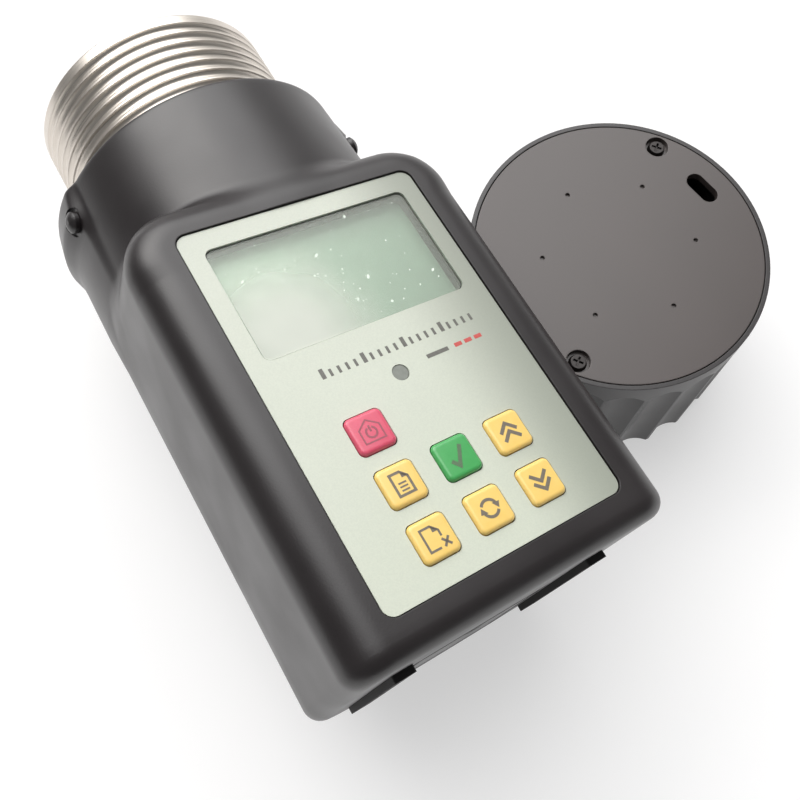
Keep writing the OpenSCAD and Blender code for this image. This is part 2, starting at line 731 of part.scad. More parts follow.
// Contact discs at the bay's inner end; the two for negative poles carry springs
module bay_contacts() color([0.8, 0.78, 0.7]) in_meter()
    for (sx = [-1, 1], sz = [-1, 1]) translate([sx * cell_pitch / 2, bay_inner, bay_z + sz * cell_pitch / 2])
        rotate([90, 0, 0]) {
        cylinder(r = 6, h = contact_t);
        if (sx * sz > 0) translate([0, 0, contact_t])
            lead([for (p = coil(4, spring_len - 0.4, 2)) p + [0, 0, 0.2]], 0.4, [0, 0, 1]);
    }

// Four AA cells, two pointing each way
module batteries() color([0.35, 0.37, 0.4]) in_meter()
    for (sx = [-1, 1], sz = [-1, 1]) {
        low = contact_y0 + seat_gap + (sx * sz > 0 ? 0 : spring_len);
        x = sx * cell_pitch / 2;
        z = bay_z + sz * cell_pitch / 2;
        nub_low = sx * sz > 0;
        rod_y(cell_r, low + (nub_low ? nub_h : 0), low + cell_len - (nub_low ? 0 : nub_h), x, z);
        rod_y(nub_r, low, low + cell_len, x, z);
    }

// Pull-off battery door in the bottom end, with a thumb notch and an inner rim
module battery_door() color([0.13, 0.13, 0.13]) in_meter() difference() {
    union() {
        translate([-door_side / 2, 0, bay_z - door_side / 2]) cube([door_side, door_t, door_side]);
        translate([-bay_side / 2 + bay_wall + seat_gap, 0, bay_z - bay_side / 2 + bay_wall + seat_gap])
            cube([bay_side - 2 * bay_wall - 2 * seat_gap, door_t + door_plug,
                bay_side - 2 * bay_wall - 2 * seat_gap]);
    }
    translate([0, -3.2, bay_z + door_side / 2 - 5]) sphere(r = 4.4);
}

module door_contacts() color([0.8, 0.78, 0.7]) in_meter() {
    for (s = [-1, 1]) translate([s * cell_pitch / 2 - 4, door_t + door_plug, bay_z - cell_pitch / 2 - 4])
        cube([8, contact_t, cell_pitch + 8]);
    for (s = [-1, 1]) translate([s * cell_pitch / 2, contact_y0, bay_z - s * cell_pitch / 2])
        rotate([-90, 0, 0])
        lead([for (p = coil(3.5, spring_len - 0.4, 2)) p + [0, 0, 0.2]], 0.4, [0, 0, 1]);
}

// Leads inside the housing, clipped between their two ends
module battery_leads() color([0.75, 0.1, 0.1]) in_meter() for (s = [-1, 1])
    lead([for (p = [[4, bay_inner + 0.8, bay_z + cell_pitch / 2], [4, bay_inner + 4, bay_z + cell_pitch / 2],
        [5, bay_inner + 8, bay_z + cell_pitch / 2 + 4], [6, bay_inner + 9, bay_z + cell_pitch / 2 + 12],
        [6, bay_inner + 9, board_z - 4], [6, bay_inner + 9, board_z]]) [s * p.x, p.y, p.z]], 0.8);

module sensor_leads() color([0.85, 0.85, 0.85]) in_meter() {
    lead([[0, base_y - nut_t - 3.1, 0], [0, base_y - nut_t - 4, 0], [0, base_y - nut_t - 6, 3], [0,
        base_y - nut_t - 8, 10],
        [0, board_y0 + board_len - 8, board_z - 6], [0, board_y0 + board_len - 8, board_z]], 0.8);
    lead([[probe_at, base_y - 4.1, 0], [probe_at, base_y - 5, 0], [probe_at, base_y - 8, 2], [probe_at,
        base_y - 10, 10],
        [probe_at, board_y0 + board_len - 8, board_z - 6], [probe_at, board_y0 + board_len - 8, board_z]],
            0.8);
}

// ---- cap pieces ----

// Fluted outer shell with an inside thread, a web under the disc and ribs between its two walls
module cap_shell() color([0.12, 0.12, 0.12]) in_cap() difference() {
    union() {
        difference() {
            cylinder(r1 = cap_base_r, r2 = cap_top_r, h = cap_h);
            for (i = [0 : scallops - 1]) rotate(i * 360 / scallops) scallop();
            // hollow between the outer wall and the thread skirt
            difference() {
                translate([0, 0, -1])
                    cylinder(r1 = cap_base_r - scallop_depth - cap_wall,
                        r2 = cap_top_r - scallop_depth - cap_wall, h = web_z + 1);
                translate([0, 0, -2]) cylinder(r = female_major + skirt_t, h = web_z + 4);
            }
            translate([0, 0, web_z + web_t]) cylinder(r = disc_r - 4, h = cap_h);
            translate([0, 0, disc_seat_z]) cylinder(r = disc_r + seat_gap, h = cap_h);
        }
        for (i = [0 : rib_count - 1]) rotate((i + 0.5) * 360 / rib_count)
            translate([female_major + skirt_t - 0.5, -rib_t / 2, 2])
            cube([cap_top_r - scallop_depth - female_major - skirt_t + 0.2, rib_t, web_z - 2]);
        for (a = [disc_turn, disc_turn + 180]) rotate(a) translate([disc_screw_r, 0, web_z])
            cylinder(r = 4, h = disc_seat_z - web_z);
        translate([0, 0, web_z - guide_h]) cylinder(r = plate_stem_r + 2.5, h = guide_h + 1);
    }
    // threaded bore below the web
    difference() {
        rotate_extrude() {
            translate([0, -1]) square([female_minor, web_z + 1]);
            translate([0, -1]) square([female_major, 3]);
            for (i = [0 : thread_turns - 1])
                translate([female_major - thread_pitch * 0.3,
                    ring_out - thread_land - (i + 0.5) * thread_pitch])
                    circle(thread_pitch * 0.3, $fn = 48);
        }
        translate([0, 0, web_z - guide_h]) cylinder(r = plate_stem_r + 2.5, h = guide_h + 1);
    }
    cylinder(r = plate_stem_r + pin_gap, h = big);
    for (a = [disc_turn, disc_turn + 180]) rotate(a) translate([disc_screw_r, 0, disc_seat_z - 8])
        cylinder(r = 1.2, h = 10);
}

// Cutter of one grip scallop: an upright rod, pointed so that the scallop ends in an arch
module scallop() {
    lean = atan((cap_base_r - cap_top_r) / cap_h);
    translate([cap_base_r + scallop_cut_r - scallop_depth, 0, 0]) rotate([0, -lean, 0]) {
        translate([0, 0, -5]) cylinder(r = scallop_cut_r, h = scallop_top + 1);
        translate([0, 0, scallop_top - 4.01]) cylinder(r1 = scallop_cut_r, r2 = scallop_cut_r - 5, h = 8);
    }
}

// Flush disc with two sunk screw holes, a slot and six dimples
module cap_disc() color([0.45, 0.43, 0.42]) in_cap() difference() {
    translate([0, 0, disc_seat_z]) cylinder(r = disc_r, h = disc_t);
    for (a = [disc_turn, disc_turn + 180]) rotate(a) translate([disc_screw_r, 0, disc_seat_z]) {
        translate([0, 0, -1]) cylinder(r = 1.7, h = disc_t + 2);
        translate([0, 0, 0.8]) cylinder(r = head_r + 0.8, h = disc_t);
    }
    for (i = [0 : 5]) rotate(disc_turn + i * 60) translate([dimple_ring, 0, cap_h - 0.8])
        cylinder(r = dimple_r, h = 2, $fn = 24);
    rotate(slot_turn) translate([slot_ring, 0, disc_seat_z - 1]) linear_extrude(disc_t + 2) {
        square([slot_w, slot_len - slot_w], center = true);
        for (s = [-1, 1]) translate([0, s * (slot_len - slot_w) / 2]) circle(slot_w / 2, $fn = 32);
    }
}

module cap_screws() color([0.2, 0.2, 0.2]) in_cap()
    for (a = [disc_turn, disc_turn + 180]) rotate(a) translate([disc_screw_r, 0, disc_seat_z + 0.8])
        rotate([180, 0, 0]) screw(7, 1.2, head_r, 1.5);

module cap_seal() color([0.6, 0.18, 0.12]) in_cap() translate([0, 0, web_z - seal_t]) difference() {
    cylinder(r = female_minor - seat_gap, h = seal_t);
    translate([0, 0, -1]) cylinder(r = female_minor - 4, h = seal_t + 2);
}

// Spring-loaded plate that presses on the grain, with its guide stem
module pressure_plate() color([0.2, 0.2, 0.21]) in_cap() difference() {
    union() {
        translate([0, 0, plate_z]) cylinder(r = plate_r, h = plate_t);
        translate([0, 0, plate_z]) cylinder(r = plate_stem_r, h = web_z + web_t + seat_gap - plate_z);
    }
    translate([0, 0, web_z - 6]) cylinder(r = screw_r, h = 20);
    translate([0, 0, plate_z + plate_t - 1.5]) difference() {
        cylinder(r = plate_r - 3, h = 3);
        translate([0, 0, -1]) cylinder(r = 17, h = 6);
    }
}

module pressure_spring() color([0.7, 0.7, 0.7]) in_cap() translate([0, 0, plate_z + plate_t + 0.8])
    lead(coil(13, web_z - plate_z - plate_t - 1.6, 2.5, 24), 0.7, [0, 0, 1]);

module plate_washer() color([0.7, 0.7, 0.7]) in_cap() translate([0, 0, web_z + web_t + seat_gap]) difference()
    {
    cylinder(r = washer_r, h = washer_t);
    translate([0, 0, -1]) cylinder(r = screw_r + 0.1, h = washer_t + 2);
}

module plate_screw() color([0.5, 0.5, 0.5]) in_cap() translate([0, 0, web_z + web_t + seat_gap + washer_t])
    rotate([180, 0, 0]) screw(9);

main_housing();
rear_cover();
cover_screws();
face_label();
display_window();
display_gasket();
lcd_panel();
lcd_backlight();
status_lens();
main_board();
board_screws();
key_switches();
power_key();
record_key();
delete_key();
confirm_key();
repeat_key();
up_key();
down_key();
chamber_ring();
ring_gasket();
ring_screws();
chamber_base();
base_screws();
centre_electrode();
electrode_nut();
temperature_probe();
strap_studs();
left_foot();
right_foot();
battery_bay();
bay_screws();
bay_contacts();
batteries();
battery_door();
door_contacts();
battery_leads();
sensor_leads();
cap_shell();
cap_disc();
cap_screws();
cap_seal();
pressure_plate();
pressure_spring();
plate_washer();
plate_screw();
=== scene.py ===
import bmesh
import bpy
import math
import numpy as np
import random
from mathutils import Matrix, Vector


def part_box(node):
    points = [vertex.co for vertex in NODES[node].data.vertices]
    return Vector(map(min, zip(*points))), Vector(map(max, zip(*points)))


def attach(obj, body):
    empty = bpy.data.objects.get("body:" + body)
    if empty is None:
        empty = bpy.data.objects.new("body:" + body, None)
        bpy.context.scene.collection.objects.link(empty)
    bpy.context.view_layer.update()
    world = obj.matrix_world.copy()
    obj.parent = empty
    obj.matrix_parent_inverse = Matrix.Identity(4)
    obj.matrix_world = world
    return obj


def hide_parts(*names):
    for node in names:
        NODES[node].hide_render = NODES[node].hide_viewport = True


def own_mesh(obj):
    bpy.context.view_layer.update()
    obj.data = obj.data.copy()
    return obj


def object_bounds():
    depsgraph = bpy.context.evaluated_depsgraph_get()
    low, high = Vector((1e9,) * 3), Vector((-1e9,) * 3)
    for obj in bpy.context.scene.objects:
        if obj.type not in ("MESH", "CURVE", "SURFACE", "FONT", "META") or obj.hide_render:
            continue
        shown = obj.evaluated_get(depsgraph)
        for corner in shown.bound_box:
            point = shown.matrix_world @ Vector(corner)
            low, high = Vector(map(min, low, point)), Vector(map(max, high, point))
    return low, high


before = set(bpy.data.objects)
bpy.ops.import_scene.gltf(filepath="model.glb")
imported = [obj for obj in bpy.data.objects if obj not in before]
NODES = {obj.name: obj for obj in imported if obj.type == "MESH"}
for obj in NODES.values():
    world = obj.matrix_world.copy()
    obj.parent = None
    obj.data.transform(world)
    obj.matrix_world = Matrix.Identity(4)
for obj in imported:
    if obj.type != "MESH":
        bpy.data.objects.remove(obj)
cad_low, cad_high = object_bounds()

# ---------------------------------------------------------------- view, light and table
# The meter lies on a white table under a big soft window. The camera stands over its lower left.

camera_data = bpy.data.cameras.new("camera")
camera_data.lens = 39.3
camera_data.sensor_width = 36
camera_data.clip_start = 0.01
camera = bpy.data.objects.new("camera", camera_data)
camera.location = (-0.07842, -0.10164, 0.28989)
camera.rotation_euler = [math.radians(a) for a in (19.3885, -0.8454, -30.3079)]
bpy.context.scene.collection.objects.link(camera)
bpy.context.scene.camera = camera
bpy.context.scene.view_settings.view_transform = "Standard"


def colour(code):
    """Linear colour of an sRGB hex code, opaque."""
    parts = [int(code[i : i + 2], 16) / 255 for i in (1, 3, 5)]
    return [c / 12.92 if c <= 0.04045 else ((c + 0.055) / 1.055) ** 2.4 for c in parts] + [1.0]


def add(tree, kind, links=None, **settings):
    """Adds a shader node; links maps an input to a value or to another node's output."""
    made = tree.nodes.new(kind)
    for key, value in settings.items():
        setattr(made, key, value)
    for key, value in (links or {}).items():
        if isinstance(value, bpy.types.NodeSocket):
            tree.links.new(value, made.inputs[key])
        else:
            made.inputs[key].default_value = value
    return made


def blank_material(name):
    """A new material with an empty tree and its output node."""
    made = bpy.data.materials.new(name)
    made.use_nodes = True
    made.node_tree.nodes.clear()
    output = made.node_tree.nodes.new("ShaderNodeOutputMaterial")
    return made, made.node_tree, output


world = bpy.data.worlds.new("studio")
bpy.context.scene.world = world
world.use_nodes = True
sky = world.node_tree
sky.nodes.clear()
spot = add(sky, "ShaderNodeTexCoord")
# one big soft window in the ceiling behind the meter, and a pale wall low on the right, in a dim room
window_way = Vector((0.12, 0.62, 0.775)).normalized()
wall_way = Vector((0.77, 0.6, 0.22)).normalized()
toward = add(
    sky, "ShaderNodeVectorMath", {0: spot.outputs["Generated"], 1: window_way}, operation="DOT_PRODUCT",
)
window = add(sky, "ShaderNodeMapRange", {
    0: toward.outputs["Value"], 1: 0.7, 2: 0.94, 3: 0.2, 4: 3.4,
}, interpolation_type="SMOOTHSTEP")
beside = add(
    sky, "ShaderNodeVectorMath", {0: spot.outputs["Generated"], 1: wall_way}, operation="DOT_PRODUCT",
)
wall = add(sky, "ShaderNodeMapRange", {
    0: beside.outputs["Value"], 1: 0.85, 2: 0.97, 3: 0.0, 4: 0.4,
}, interpolation_type="SMOOTHSTEP")
dim = add(sky, "ShaderNodeMath", {0: window.outputs[0], 1: wall.outputs[0]})
rays = add(sky, "ShaderNodeLightPath")
strength = add(sky, "ShaderNodeMix", {
    0: rays.outputs["Is Camera Ray"], 2: dim.outputs[0], 3: 1.0,
}, data_type="FLOAT")
backdrop = add(sky, "ShaderNodeBackground", {"Color": colour("#ffffff"), "Strength": strength.outputs[0]})
add(sky, "ShaderNodeOutputWorld", {0: backdrop.outputs[0]})

lamp_data = bpy.data.lights.new("window", "AREA")
lamp_data.shape = "RECTANGLE"
lamp_data.size = 0.6
lamp_data.size_y = 0.35
lamp_data.energy = 1.6
lamp_data.color = colour("#fffaf4")[:3]
lamp = bpy.data.objects.new("window", lamp_data)
lamp.location = (-0.12, 0.6, 0.7)
lamp.rotation_euler = (Vector((0, 0, 0)) - lamp.location).to_track_quat("-Z", "Y").to_euler()
bpy.context.scene.collection.objects.link(lamp)

# a round white table top, 0.2 mm under the lowest points of the meter and the cap
table_r, table_gap = 1.6, 0.0002
bpy.ops.object.select_all(action="DESELECT")
bpy.ops.mesh.primitive_circle_add(
    vertices=96, radius=table_r, fill_type="NGON", location=(0, 0, cad_low.z - table_gap)
)
table = bpy.context.object
table.name = "table"
table_material, tree, output = blank_material("white table")
matt = add(tree, "ShaderNodeBsdfDiffuse", {"Color": colour("#f7f6f6")})
rays = add(tree, "ShaderNodeLightPath")
seen = add(tree, "ShaderNodeMath", {
    0: rays.outputs["Is Camera Ray"], 1: rays.outputs["Is Glossy Ray"],
}, operation="MAXIMUM")
lift = add(tree, "ShaderNodeMath", {0: seen.outputs[0], 1: 0.45}, operation="MULTIPLY")
glow = add(tree, "ShaderNodeEmission", {"Color": colour("#ffffff"), "Strength": 1.15})
both = add(tree, "ShaderNodeMixShader", {0: lift.outputs[0], 1: matt.outputs[0], 2: glow.outputs[0]})
tree.links.new(both.outputs[0], output.inputs[0])
table.data.materials.append(table_material)

# ---------------------------------------------------------------- main housing
# One ABS moulding: face, sides, bottom end and the round collar. It lies rolled over on its round
# back. A steep rounded shoulder stands above the collar, and a low lug carries each strap stud.

# sizes and places in millimetres from the middle of the bottom end, Y along the meter and Z out of the face
roll = 16.3                                      # degrees
body_r, face_h, body_len = 47.2, 48.5, 160.0     # round radius, height of the face, length
block_len, collar_r = 123.5, 45.7                # where the flat face ends, and the collar's radius
shoulder_slope = math.radians(80)
shoulder_corner, bottom_edge, mouth_edge = 16, 5, 1.2            # radii of rounded edges
face_edge, face_edge_loss = 10, 2.5              # radius of the long edges, and what it loses upwards
fillet = 3.2                                     # hollow blend between the shoulder and the collar
housing_wall = 2.6
stud_y, stud_turn, stud_seat = 150, 72, 47.3     # place, degrees from straight up, distance from the axis
stud_hole_r, stud_hole_low, stud_spot_r = 2.25, 38, 4.0
lug_rows, lug_heights = [112, 122, 142, 146, 151.5, 160], [0, 0.3, 0.8, 1.1, 2.85, 1.6]
ring_low, ring_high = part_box("chamber_ring")
ring_mouth = 195.0                               # place of the ring's open end
ring_x, ring_z = (ring_low.x + ring_high.x) / 2, (ring_low.z + ring_high.z) / 2
axis_point = Vector((ring_x, ring_high.y - ring_mouth / 1000, ring_z))
# from millimetres along the meter to metres in the frame
METER = Matrix.Translation(axis_point) @ Matrix.Rotation(math.radians(roll), 4, "Y")
METER = METER @ Matrix.Scale(0.001, 4)


def rounded_meet(a, b, r):
    """Distance to where two faces meet in a rounded edge of radius r."""
    return np.minimum(-r, np.maximum(a, b)) + np.hypot(np.maximum(r + a, 0), np.maximum(r + b, 0))


def body_distance(x, y, z):
    """Signed distance from the housing's outside, in millimetres."""
    run = np.clip((y - block_len) / (body_len - block_len), 0, 1)
    radius = body_r - (body_r - collar_r) * run
    # lugs under the strap studs
    crest = np.interp(y, lug_rows, lug_heights)
    across = np.clip((z + 22) / 7, 0, 1) * np.clip((20 - z) / 4, 0, 1) * np.clip((np.abs(x) - 25) / 8, 0, 1)
    across = across * across * (3 - 2 * across)
    radius = radius + crest * across
    side = np.abs(x) - body_r
    front = z - face_h
    slope = (y - block_len) * math.sin(shoulder_slope) + front * math.cos(shoulder_slope)
    walls = rounded_meet(side, slope, shoulder_corner)
    edge = face_edge - face_edge_loss * np.clip((y - 104) / 14, 0, 1)
    block = np.maximum(rounded_meet(walls, front, edge), -z)
    drum = np.hypot(x, z) - radius
    near = np.clip((y - 104) / 12, 0, 1) * np.clip(z / 14, 0, 1)
    soft = fillet * near * near * (3 - 2 * near) + 1e-4
    h = np.maximum(soft - np.abs(block - drum), 0) / soft
    body = np.minimum(block, drum) - h * h * soft / 4
    body = rounded_meet(body, -y, bottom_edge)
    return rounded_meet(body, y - body_len, mouth_edge)


def loft_body(name, level, stations, count):
    """Closed mesh of the surface at that distance from the housing's outside, with rings at the stations."""
    angles = np.linspace(0, 2 * math.pi, count, endpoint=False)
    y, a = np.meshgrid(stations, angles, indexing="ij")
    # the surface is found by halving, between the axis and 90 mm out
    low, high = np.zeros_like(y), np.full_like(y, 90.0)
    for _ in range(36):
        middle = (low + high) / 2
        inside = body_distance(middle * np.sin(a), y, middle * np.cos(a)) < level
        low, high = np.where(inside, middle, low), np.where(inside, high, middle)
    points = np.stack([low * np.sin(a), y, low * np.cos(a)], axis=-1).reshape(-1, 3)
    rows = len(stations)
    faces = [
        (i * count + k, i * count + (k + 1) % count, (i + 1) * count + (k + 1) % count, (i + 1) * count + k)
        for i in range(rows - 1)
        for k in range(count)
    ]
    faces.append(tuple(range(count))[::-1])
    faces.append(tuple((rows - 1) * count + k for k in range(count)))
    mesh = bpy.data.meshes.new(name)
    mesh.from_pydata(points.tolist(), [], faces)
    made = bpy.data.objects.new(name, mesh)
    bpy.context.scene.collection.objects.link(made)
    bpy.ops.object.select_all(action="DESELECT")
    made.select_set(True)
    bpy.context.view_layer.objects.active = made
    bpy.ops.object.mode_set(mode="EDIT")
    bpy.ops.mesh.select_all(action="SELECT")
    bpy.ops.mesh.normals_make_consistent(inside=False)
    bpy.ops.object.mode_set(mode="OBJECT")
    return made


def rounded_block(width, length, height, radius, centre, segments=8):
    """A block with rounded upright edges, added at its size and place."""
    bpy.ops.object.select_all(action="DESELECT")
    bpy.ops.mesh.primitive_cube_add(size=1, location=centre)
    made = bpy.context.object
    made.scale = (width, length, height)
    bpy.ops.object.transform_apply(location=True, rotation=False, scale=True)
    if radius:
        bpy.ops.object.mode_set(mode="EDIT")
        bpy.ops.mesh.select_mode(type="EDGE")
        shape = bmesh.from_edit_mesh(made.data)
        for face in shape.faces:
            face.select = False
        for edge in shape.edges:
            a, b = (v.co for v in edge.verts)
            edge.select = abs(a.x - b.x) < 1e-4 and abs(a.y - b.y) < 1e-4
        bmesh.update_edit_mesh(made.data)
        bpy.ops.mesh.bevel(offset=radius, segments=segments, affect="EDGES")
        bpy.ops.object.mode_set(mode="OBJECT")
    return made


def rod(radius, low, high, axis="Z", vertices=64):
    """A round cutter or pin between two points on a line along Y or Z."""
    low, high = Vector(low), Vector(high)
    turn = {"Y": (math.pi / 2, 0, 0), "Z": (0, 0, 0)}[axis]
    bpy.ops.object.select_all(action="DESELECT")
    bpy.ops.mesh.primitive_cylinder_add(
        vertices=vertices, radius=radius, depth=(high - low).length, location=(low + high) / 2, rotation=turn
    )
    made = bpy.context.object
    bpy.ops.object.transform_apply(location=True, rotation=True, scale=True)
    return made


def cut(target, cutter):
    """Cuts target with cutter, which is used up."""
    bpy.ops.object.select_all(action="DESELECT")
    bpy.context.view_layer.objects.active = target
    target.select_set(True)
    boolean = target.modifiers.new("cut", "BOOLEAN")
    boolean.operation = "DIFFERENCE"
    boolean.object = cutter
    boolean.solver = "MANIFOLD"
    bpy.ops.object.modifier_apply(modifier="cut")
    bpy.data.objects.remove(cutter)


def settle(piece, name, matrix, smooth=32):
    """Names a finished piece, puts its place into its mesh and smooths it by angle."""
    piece.name = name
    piece.data.name = name
    piece.data.transform(matrix)
    piece.matrix_world = Matrix.Identity(4)
    bpy.ops.object.select_all(action="DESELECT")
    piece.select_set(True)
    bpy.context.view_layer.objects.active = piece
    bpy.ops.object.shade_smooth_by_angle(angle=math.radians(smooth))


# the rings stand close together where the shoulder curves and at the two rounded ends
bend = np.linspace(0, math.pi / 2, 9)
outside_rows = np.concatenate([
    bottom_edge * (1 - np.cos(bend)) + 1e-4,
    np.linspace(7, 102, 16),
    np.linspace(103, 136, 67),
    np.linspace(137, 158.5, 16),
    body_len - mouth_edge + mouth_edge * np.sin(bend[2::2]) - 1e-4,
])
inside_rows = np.concatenate([[3.5, 8, 40, 80, 106], np.linspace(110, 154, 12)])
housing = loft_body("housing", 0.0, outside_rows, 432)
hollow = loft_body("hollow", -housing_wall, inside_rows, 144)
cut(housing, hollow)
# the open back that the rear cover closes, and the chamber's hole in the collar
back_length, back_y, back_top, collar_hole_r = 111.8, 63.75, -14, 38.3
cut(housing, rounded_block(400, back_length, 200, 0, (0, back_y, back_top - 100)))
cut(housing, rod(collar_hole_r, (0, 150, 0), (0, 170, 0), "Y", 180))
# label recess, display opening and the rebate of its window
label_y, label_floor, display_y, rebate_floor = 61.3, 47.3, 90.9, 46.1
recess_w, recess_len, recess_corner = 69.2, 104.6, 3.3
display_w, display_h, display_corner = 58.4, 33.5, 2.2
rebate_w, rebate_h = 64.0, 39.1
cut(housing, rounded_block(recess_w, recess_len, 10, recess_corner, (0, label_y, label_floor + 5)))
cut(housing, rounded_block(display_w, display_h, 12, display_corner, (0, display_y, 47)))
cut(housing, rounded_block(rebate_w, rebate_h, 4, display_corner, (0, display_y, rebate_floor + 2)))
# holes of the keys, each 0.4 wider than its key, by column from the left and row from the top, and the
# status lens's round hole under the display
key_side, key_gap, key_hole_corner = 10.0, 0.4, 1.7
key_pitch_x, key_pitch_y, key_low_row = 15.6, 14.2, 20.1
lens_x, lens_drop, lens_hole_r = -0.5, 2.1, 2.6
key_places = {
    "power_key": (0, 0), "record_key": (0, 1), "delete_key": (0, 2), "confirm_key": (1, 1),
    "repeat_key": (1, 2), "up_key": (2, 1), "down_key": (2, 2),
}


def key_centre(column, row):
    """Where the key of that column and row stands on the face."""
    return (column - 1) * key_pitch_x, key_low_row + (2 - row) * key_pitch_y


for column, row in key_places.values():
    x, y = key_centre(column, row)
    cut(housing, rounded_block(key_side + key_gap, key_side + key_gap, 12, key_hole_corner, (x, y, 47)))
cut(housing, rod(lens_hole_r, (lens_x, label_y - lens_drop, 40), (lens_x, label_y - lens_drop, 50)))
# battery door recess and opening, the seats of the two feet, and a stepped hole for each stud
door_recess, door_recess_depth, bay_opening, bay_z = 45.0, 2.3, 38.6, -8
foot_seat_w, foot_seat_len, foot_seat_depth, foot_x, foot_z = 6.6, 48.6, 1, 30, 4
cut(housing, rounded_block(door_recess, 2 * door_recess_depth, door_recess, 0, (0, 0, bay_z)))
cut(housing, rounded_block(bay_opening, 20, bay_opening, 0, (0, 0, bay_z)))
for side in (-1, 1):
    seat_centre = (side * foot_x, 0, foot_z)
    cut(housing, rounded_block(foot_seat_w, 2 * foot_seat_depth, foot_seat_len, 0, seat_centre))
    for radius, low in ((stud_hole_r, stud_hole_low), (stud_spot_r, stud_seat)):
        hole = rod(radius, (0, 0, low), (0, 0, 60))
        turn = Matrix.Rotation(side * math.radians(stud_turn), 4, "Y")
        hole.data.transform(Matrix.Translation((0, stud_y, 0)) @ turn)
        cut(housing, hole)

# Black ABS, spark-textured in the mould: a satin sheen that breaks up into a fine grain close by.
abs_black, tree, output = blank_material("spark textured black ABS")
place = add(tree, "ShaderNodeTexCoord")
grain = add(tree, "ShaderNodeTexNoise", {
    "Vector": place.outputs["Object"], "Scale": 1000 / 0.55, "Detail": 2.0, "Roughness": 0.6,
})
flow = add(tree, "ShaderNodeTexNoise", {
    "Vector": place.outputs["Object"], "Scale": 1000 / 22.0, "Detail": 2.0,
})
tone = add(tree, "ShaderNodeMix", {
    0: flow.outputs[0], 6: colour("#1d191a"), 7: colour("#272223"),
}, data_type="RGBA")
sheen = add(tree, "ShaderNodeMapRange", {0: flow.outputs[0], 1: 0.3, 2: 0.7, 3: 0.32, 4: 0.4})
edge = add(tree, "ShaderNodeBevel", {"Radius": 0.0004}, samples=4)
relief = add(tree, "ShaderNodeBump", {
    "Height": grain.outputs[0], "Strength": 0.22, "Distance": 0.00008, "Normal": edge.outputs[0],
})
plastic = add(tree, "ShaderNodeBsdfPrincipled", {
    "Base Color": tone.outputs[2], "Roughness": sheen.outputs[0], "IOR": 1.56, "Specular IOR Level": 0.58,
    "Normal": relief.outputs[0],
})
tree.links.new(plastic.outputs[0], output.inputs[0])

settle(housing, "housing_moulding", METER)
housing.data.materials.clear()
housing.data.materials.append(abs_black)
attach(housing, "meter")
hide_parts("main_housing")

# ---------------------------------------------------------------- rear cover and its screws
# The curved back is a second moulding of the same black ABS, and the battery door is a third, which
# pulls straight out of the bottom end. Four sunk screws of blackened steel hold the back on.


def finish_node(name, material):
    """Gives a CAD node its material, in every slot that it has."""
    node = NODES[name]
    if not node.material_slots:
        node.data.materials.append(material)
    for held in node.material_slots:
        held.material = material


finish_node("rear_cover", abs_black)
finish_node("battery_door", abs_black)

# Steel screw with black oxide: a dark, slightly oily metal, brighter on its worn edges.
screw_black, tree, output = blank_material("black oxide steel")
place = add(tree, "ShaderNodeTexCoord")
grain = add(tree, "ShaderNodeTexNoise", {
    "Vector": place.outputs["Object"], "Scale": 1000 / 0.8, "Detail": 3.0,
})
tone = add(tree, "ShaderNodeMix", {
    0: grain.outputs[0], 6: colour("#2a2828"), 7: colour("#4a4746"),
}, data_type="RGBA")
rough = add(tree, "ShaderNodeMapRange", {0: grain.outputs[0], 3: 0.28, 4: 0.42})
edge = add(tree, "ShaderNodeBevel", {"Radius": 0.00025}, samples=4)
steel = add(tree, "ShaderNodeBsdfPrincipled", {
    "Base Color": tone.outputs[2], "Metallic": 0.85, "Roughness": rough.outputs[0],
    "Normal": edge.outputs[0],
})
tree.links.new(steel.outputs[0], output.inputs[0])
finish_node("cover_screws", screw_black)

# ---------------------------------------------------------------- face label
# A polyester film printed in pale grey-green, with a velvet front. It lies in the face's shallow
# recess, and is cut out for the display, the keys and the status lens.


def meter_millimetres(tree):
    """Texture place in millimetres along the meter's own X, Y and Z."""
    place = add(tree, "ShaderNodeTexCoord")
    back = METER.inverted()
    turned = {"Location": back.to_translation(), "Rotation": back.to_euler(), "Scale": (1000, 1000, 1000)}
    return add(tree, "ShaderNodeMapping", {"Vector": place.outputs["Object"], **turned})


label_film, tree, output = blank_material("velvet printed polyester")
along = meter_millimetres(tree)
parts = add(tree, "ShaderNodeSeparateXYZ", {0: along.outputs[0]})
grain = add(tree, "ShaderNodeTexNoise", {
    "Vector": along.outputs[0], "Scale": 1 / 0.45, "Detail": 2.0, "Roughness": 0.7,
})
cloud = add(tree, "ShaderNodeTexNoise", {"Vector": along.outputs[0], "Scale": 1 / 38.0, "Detail": 1.0})
# painted shade: the print is made a little greyer from the bottom of the face to its top
shade_up_face = add(tree, "ShaderNodeMapRange", {0: parts.outputs["Y"], 1: 20.0, 2: 112.0})
print_and_painted_shade = add(tree, "ShaderNodeMix", {
    0: shade_up_face.outputs[0], 6: colour("#d0d6c5"), 7: colour("#c8ccc1"),
}, data_type="RGBA")
cloudy = add(tree, "ShaderNodeMix", {
    0: cloud.outputs[0], 6: print_and_painted_shade.outputs[2], 7: colour("#d6dbcd"),
}, data_type="RGBA")
speck = add(tree, "ShaderNodeMapRange", {0: grain.outputs[0], 1: 0.35, 2: 0.65, 3: 0.0, 4: 0.16})
printed = add(tree, "ShaderNodeMix", {
    0: speck.outputs[0], 6: cloudy.outputs[2], 7: colour("#abb2a8"),
}, data_type="RGBA")
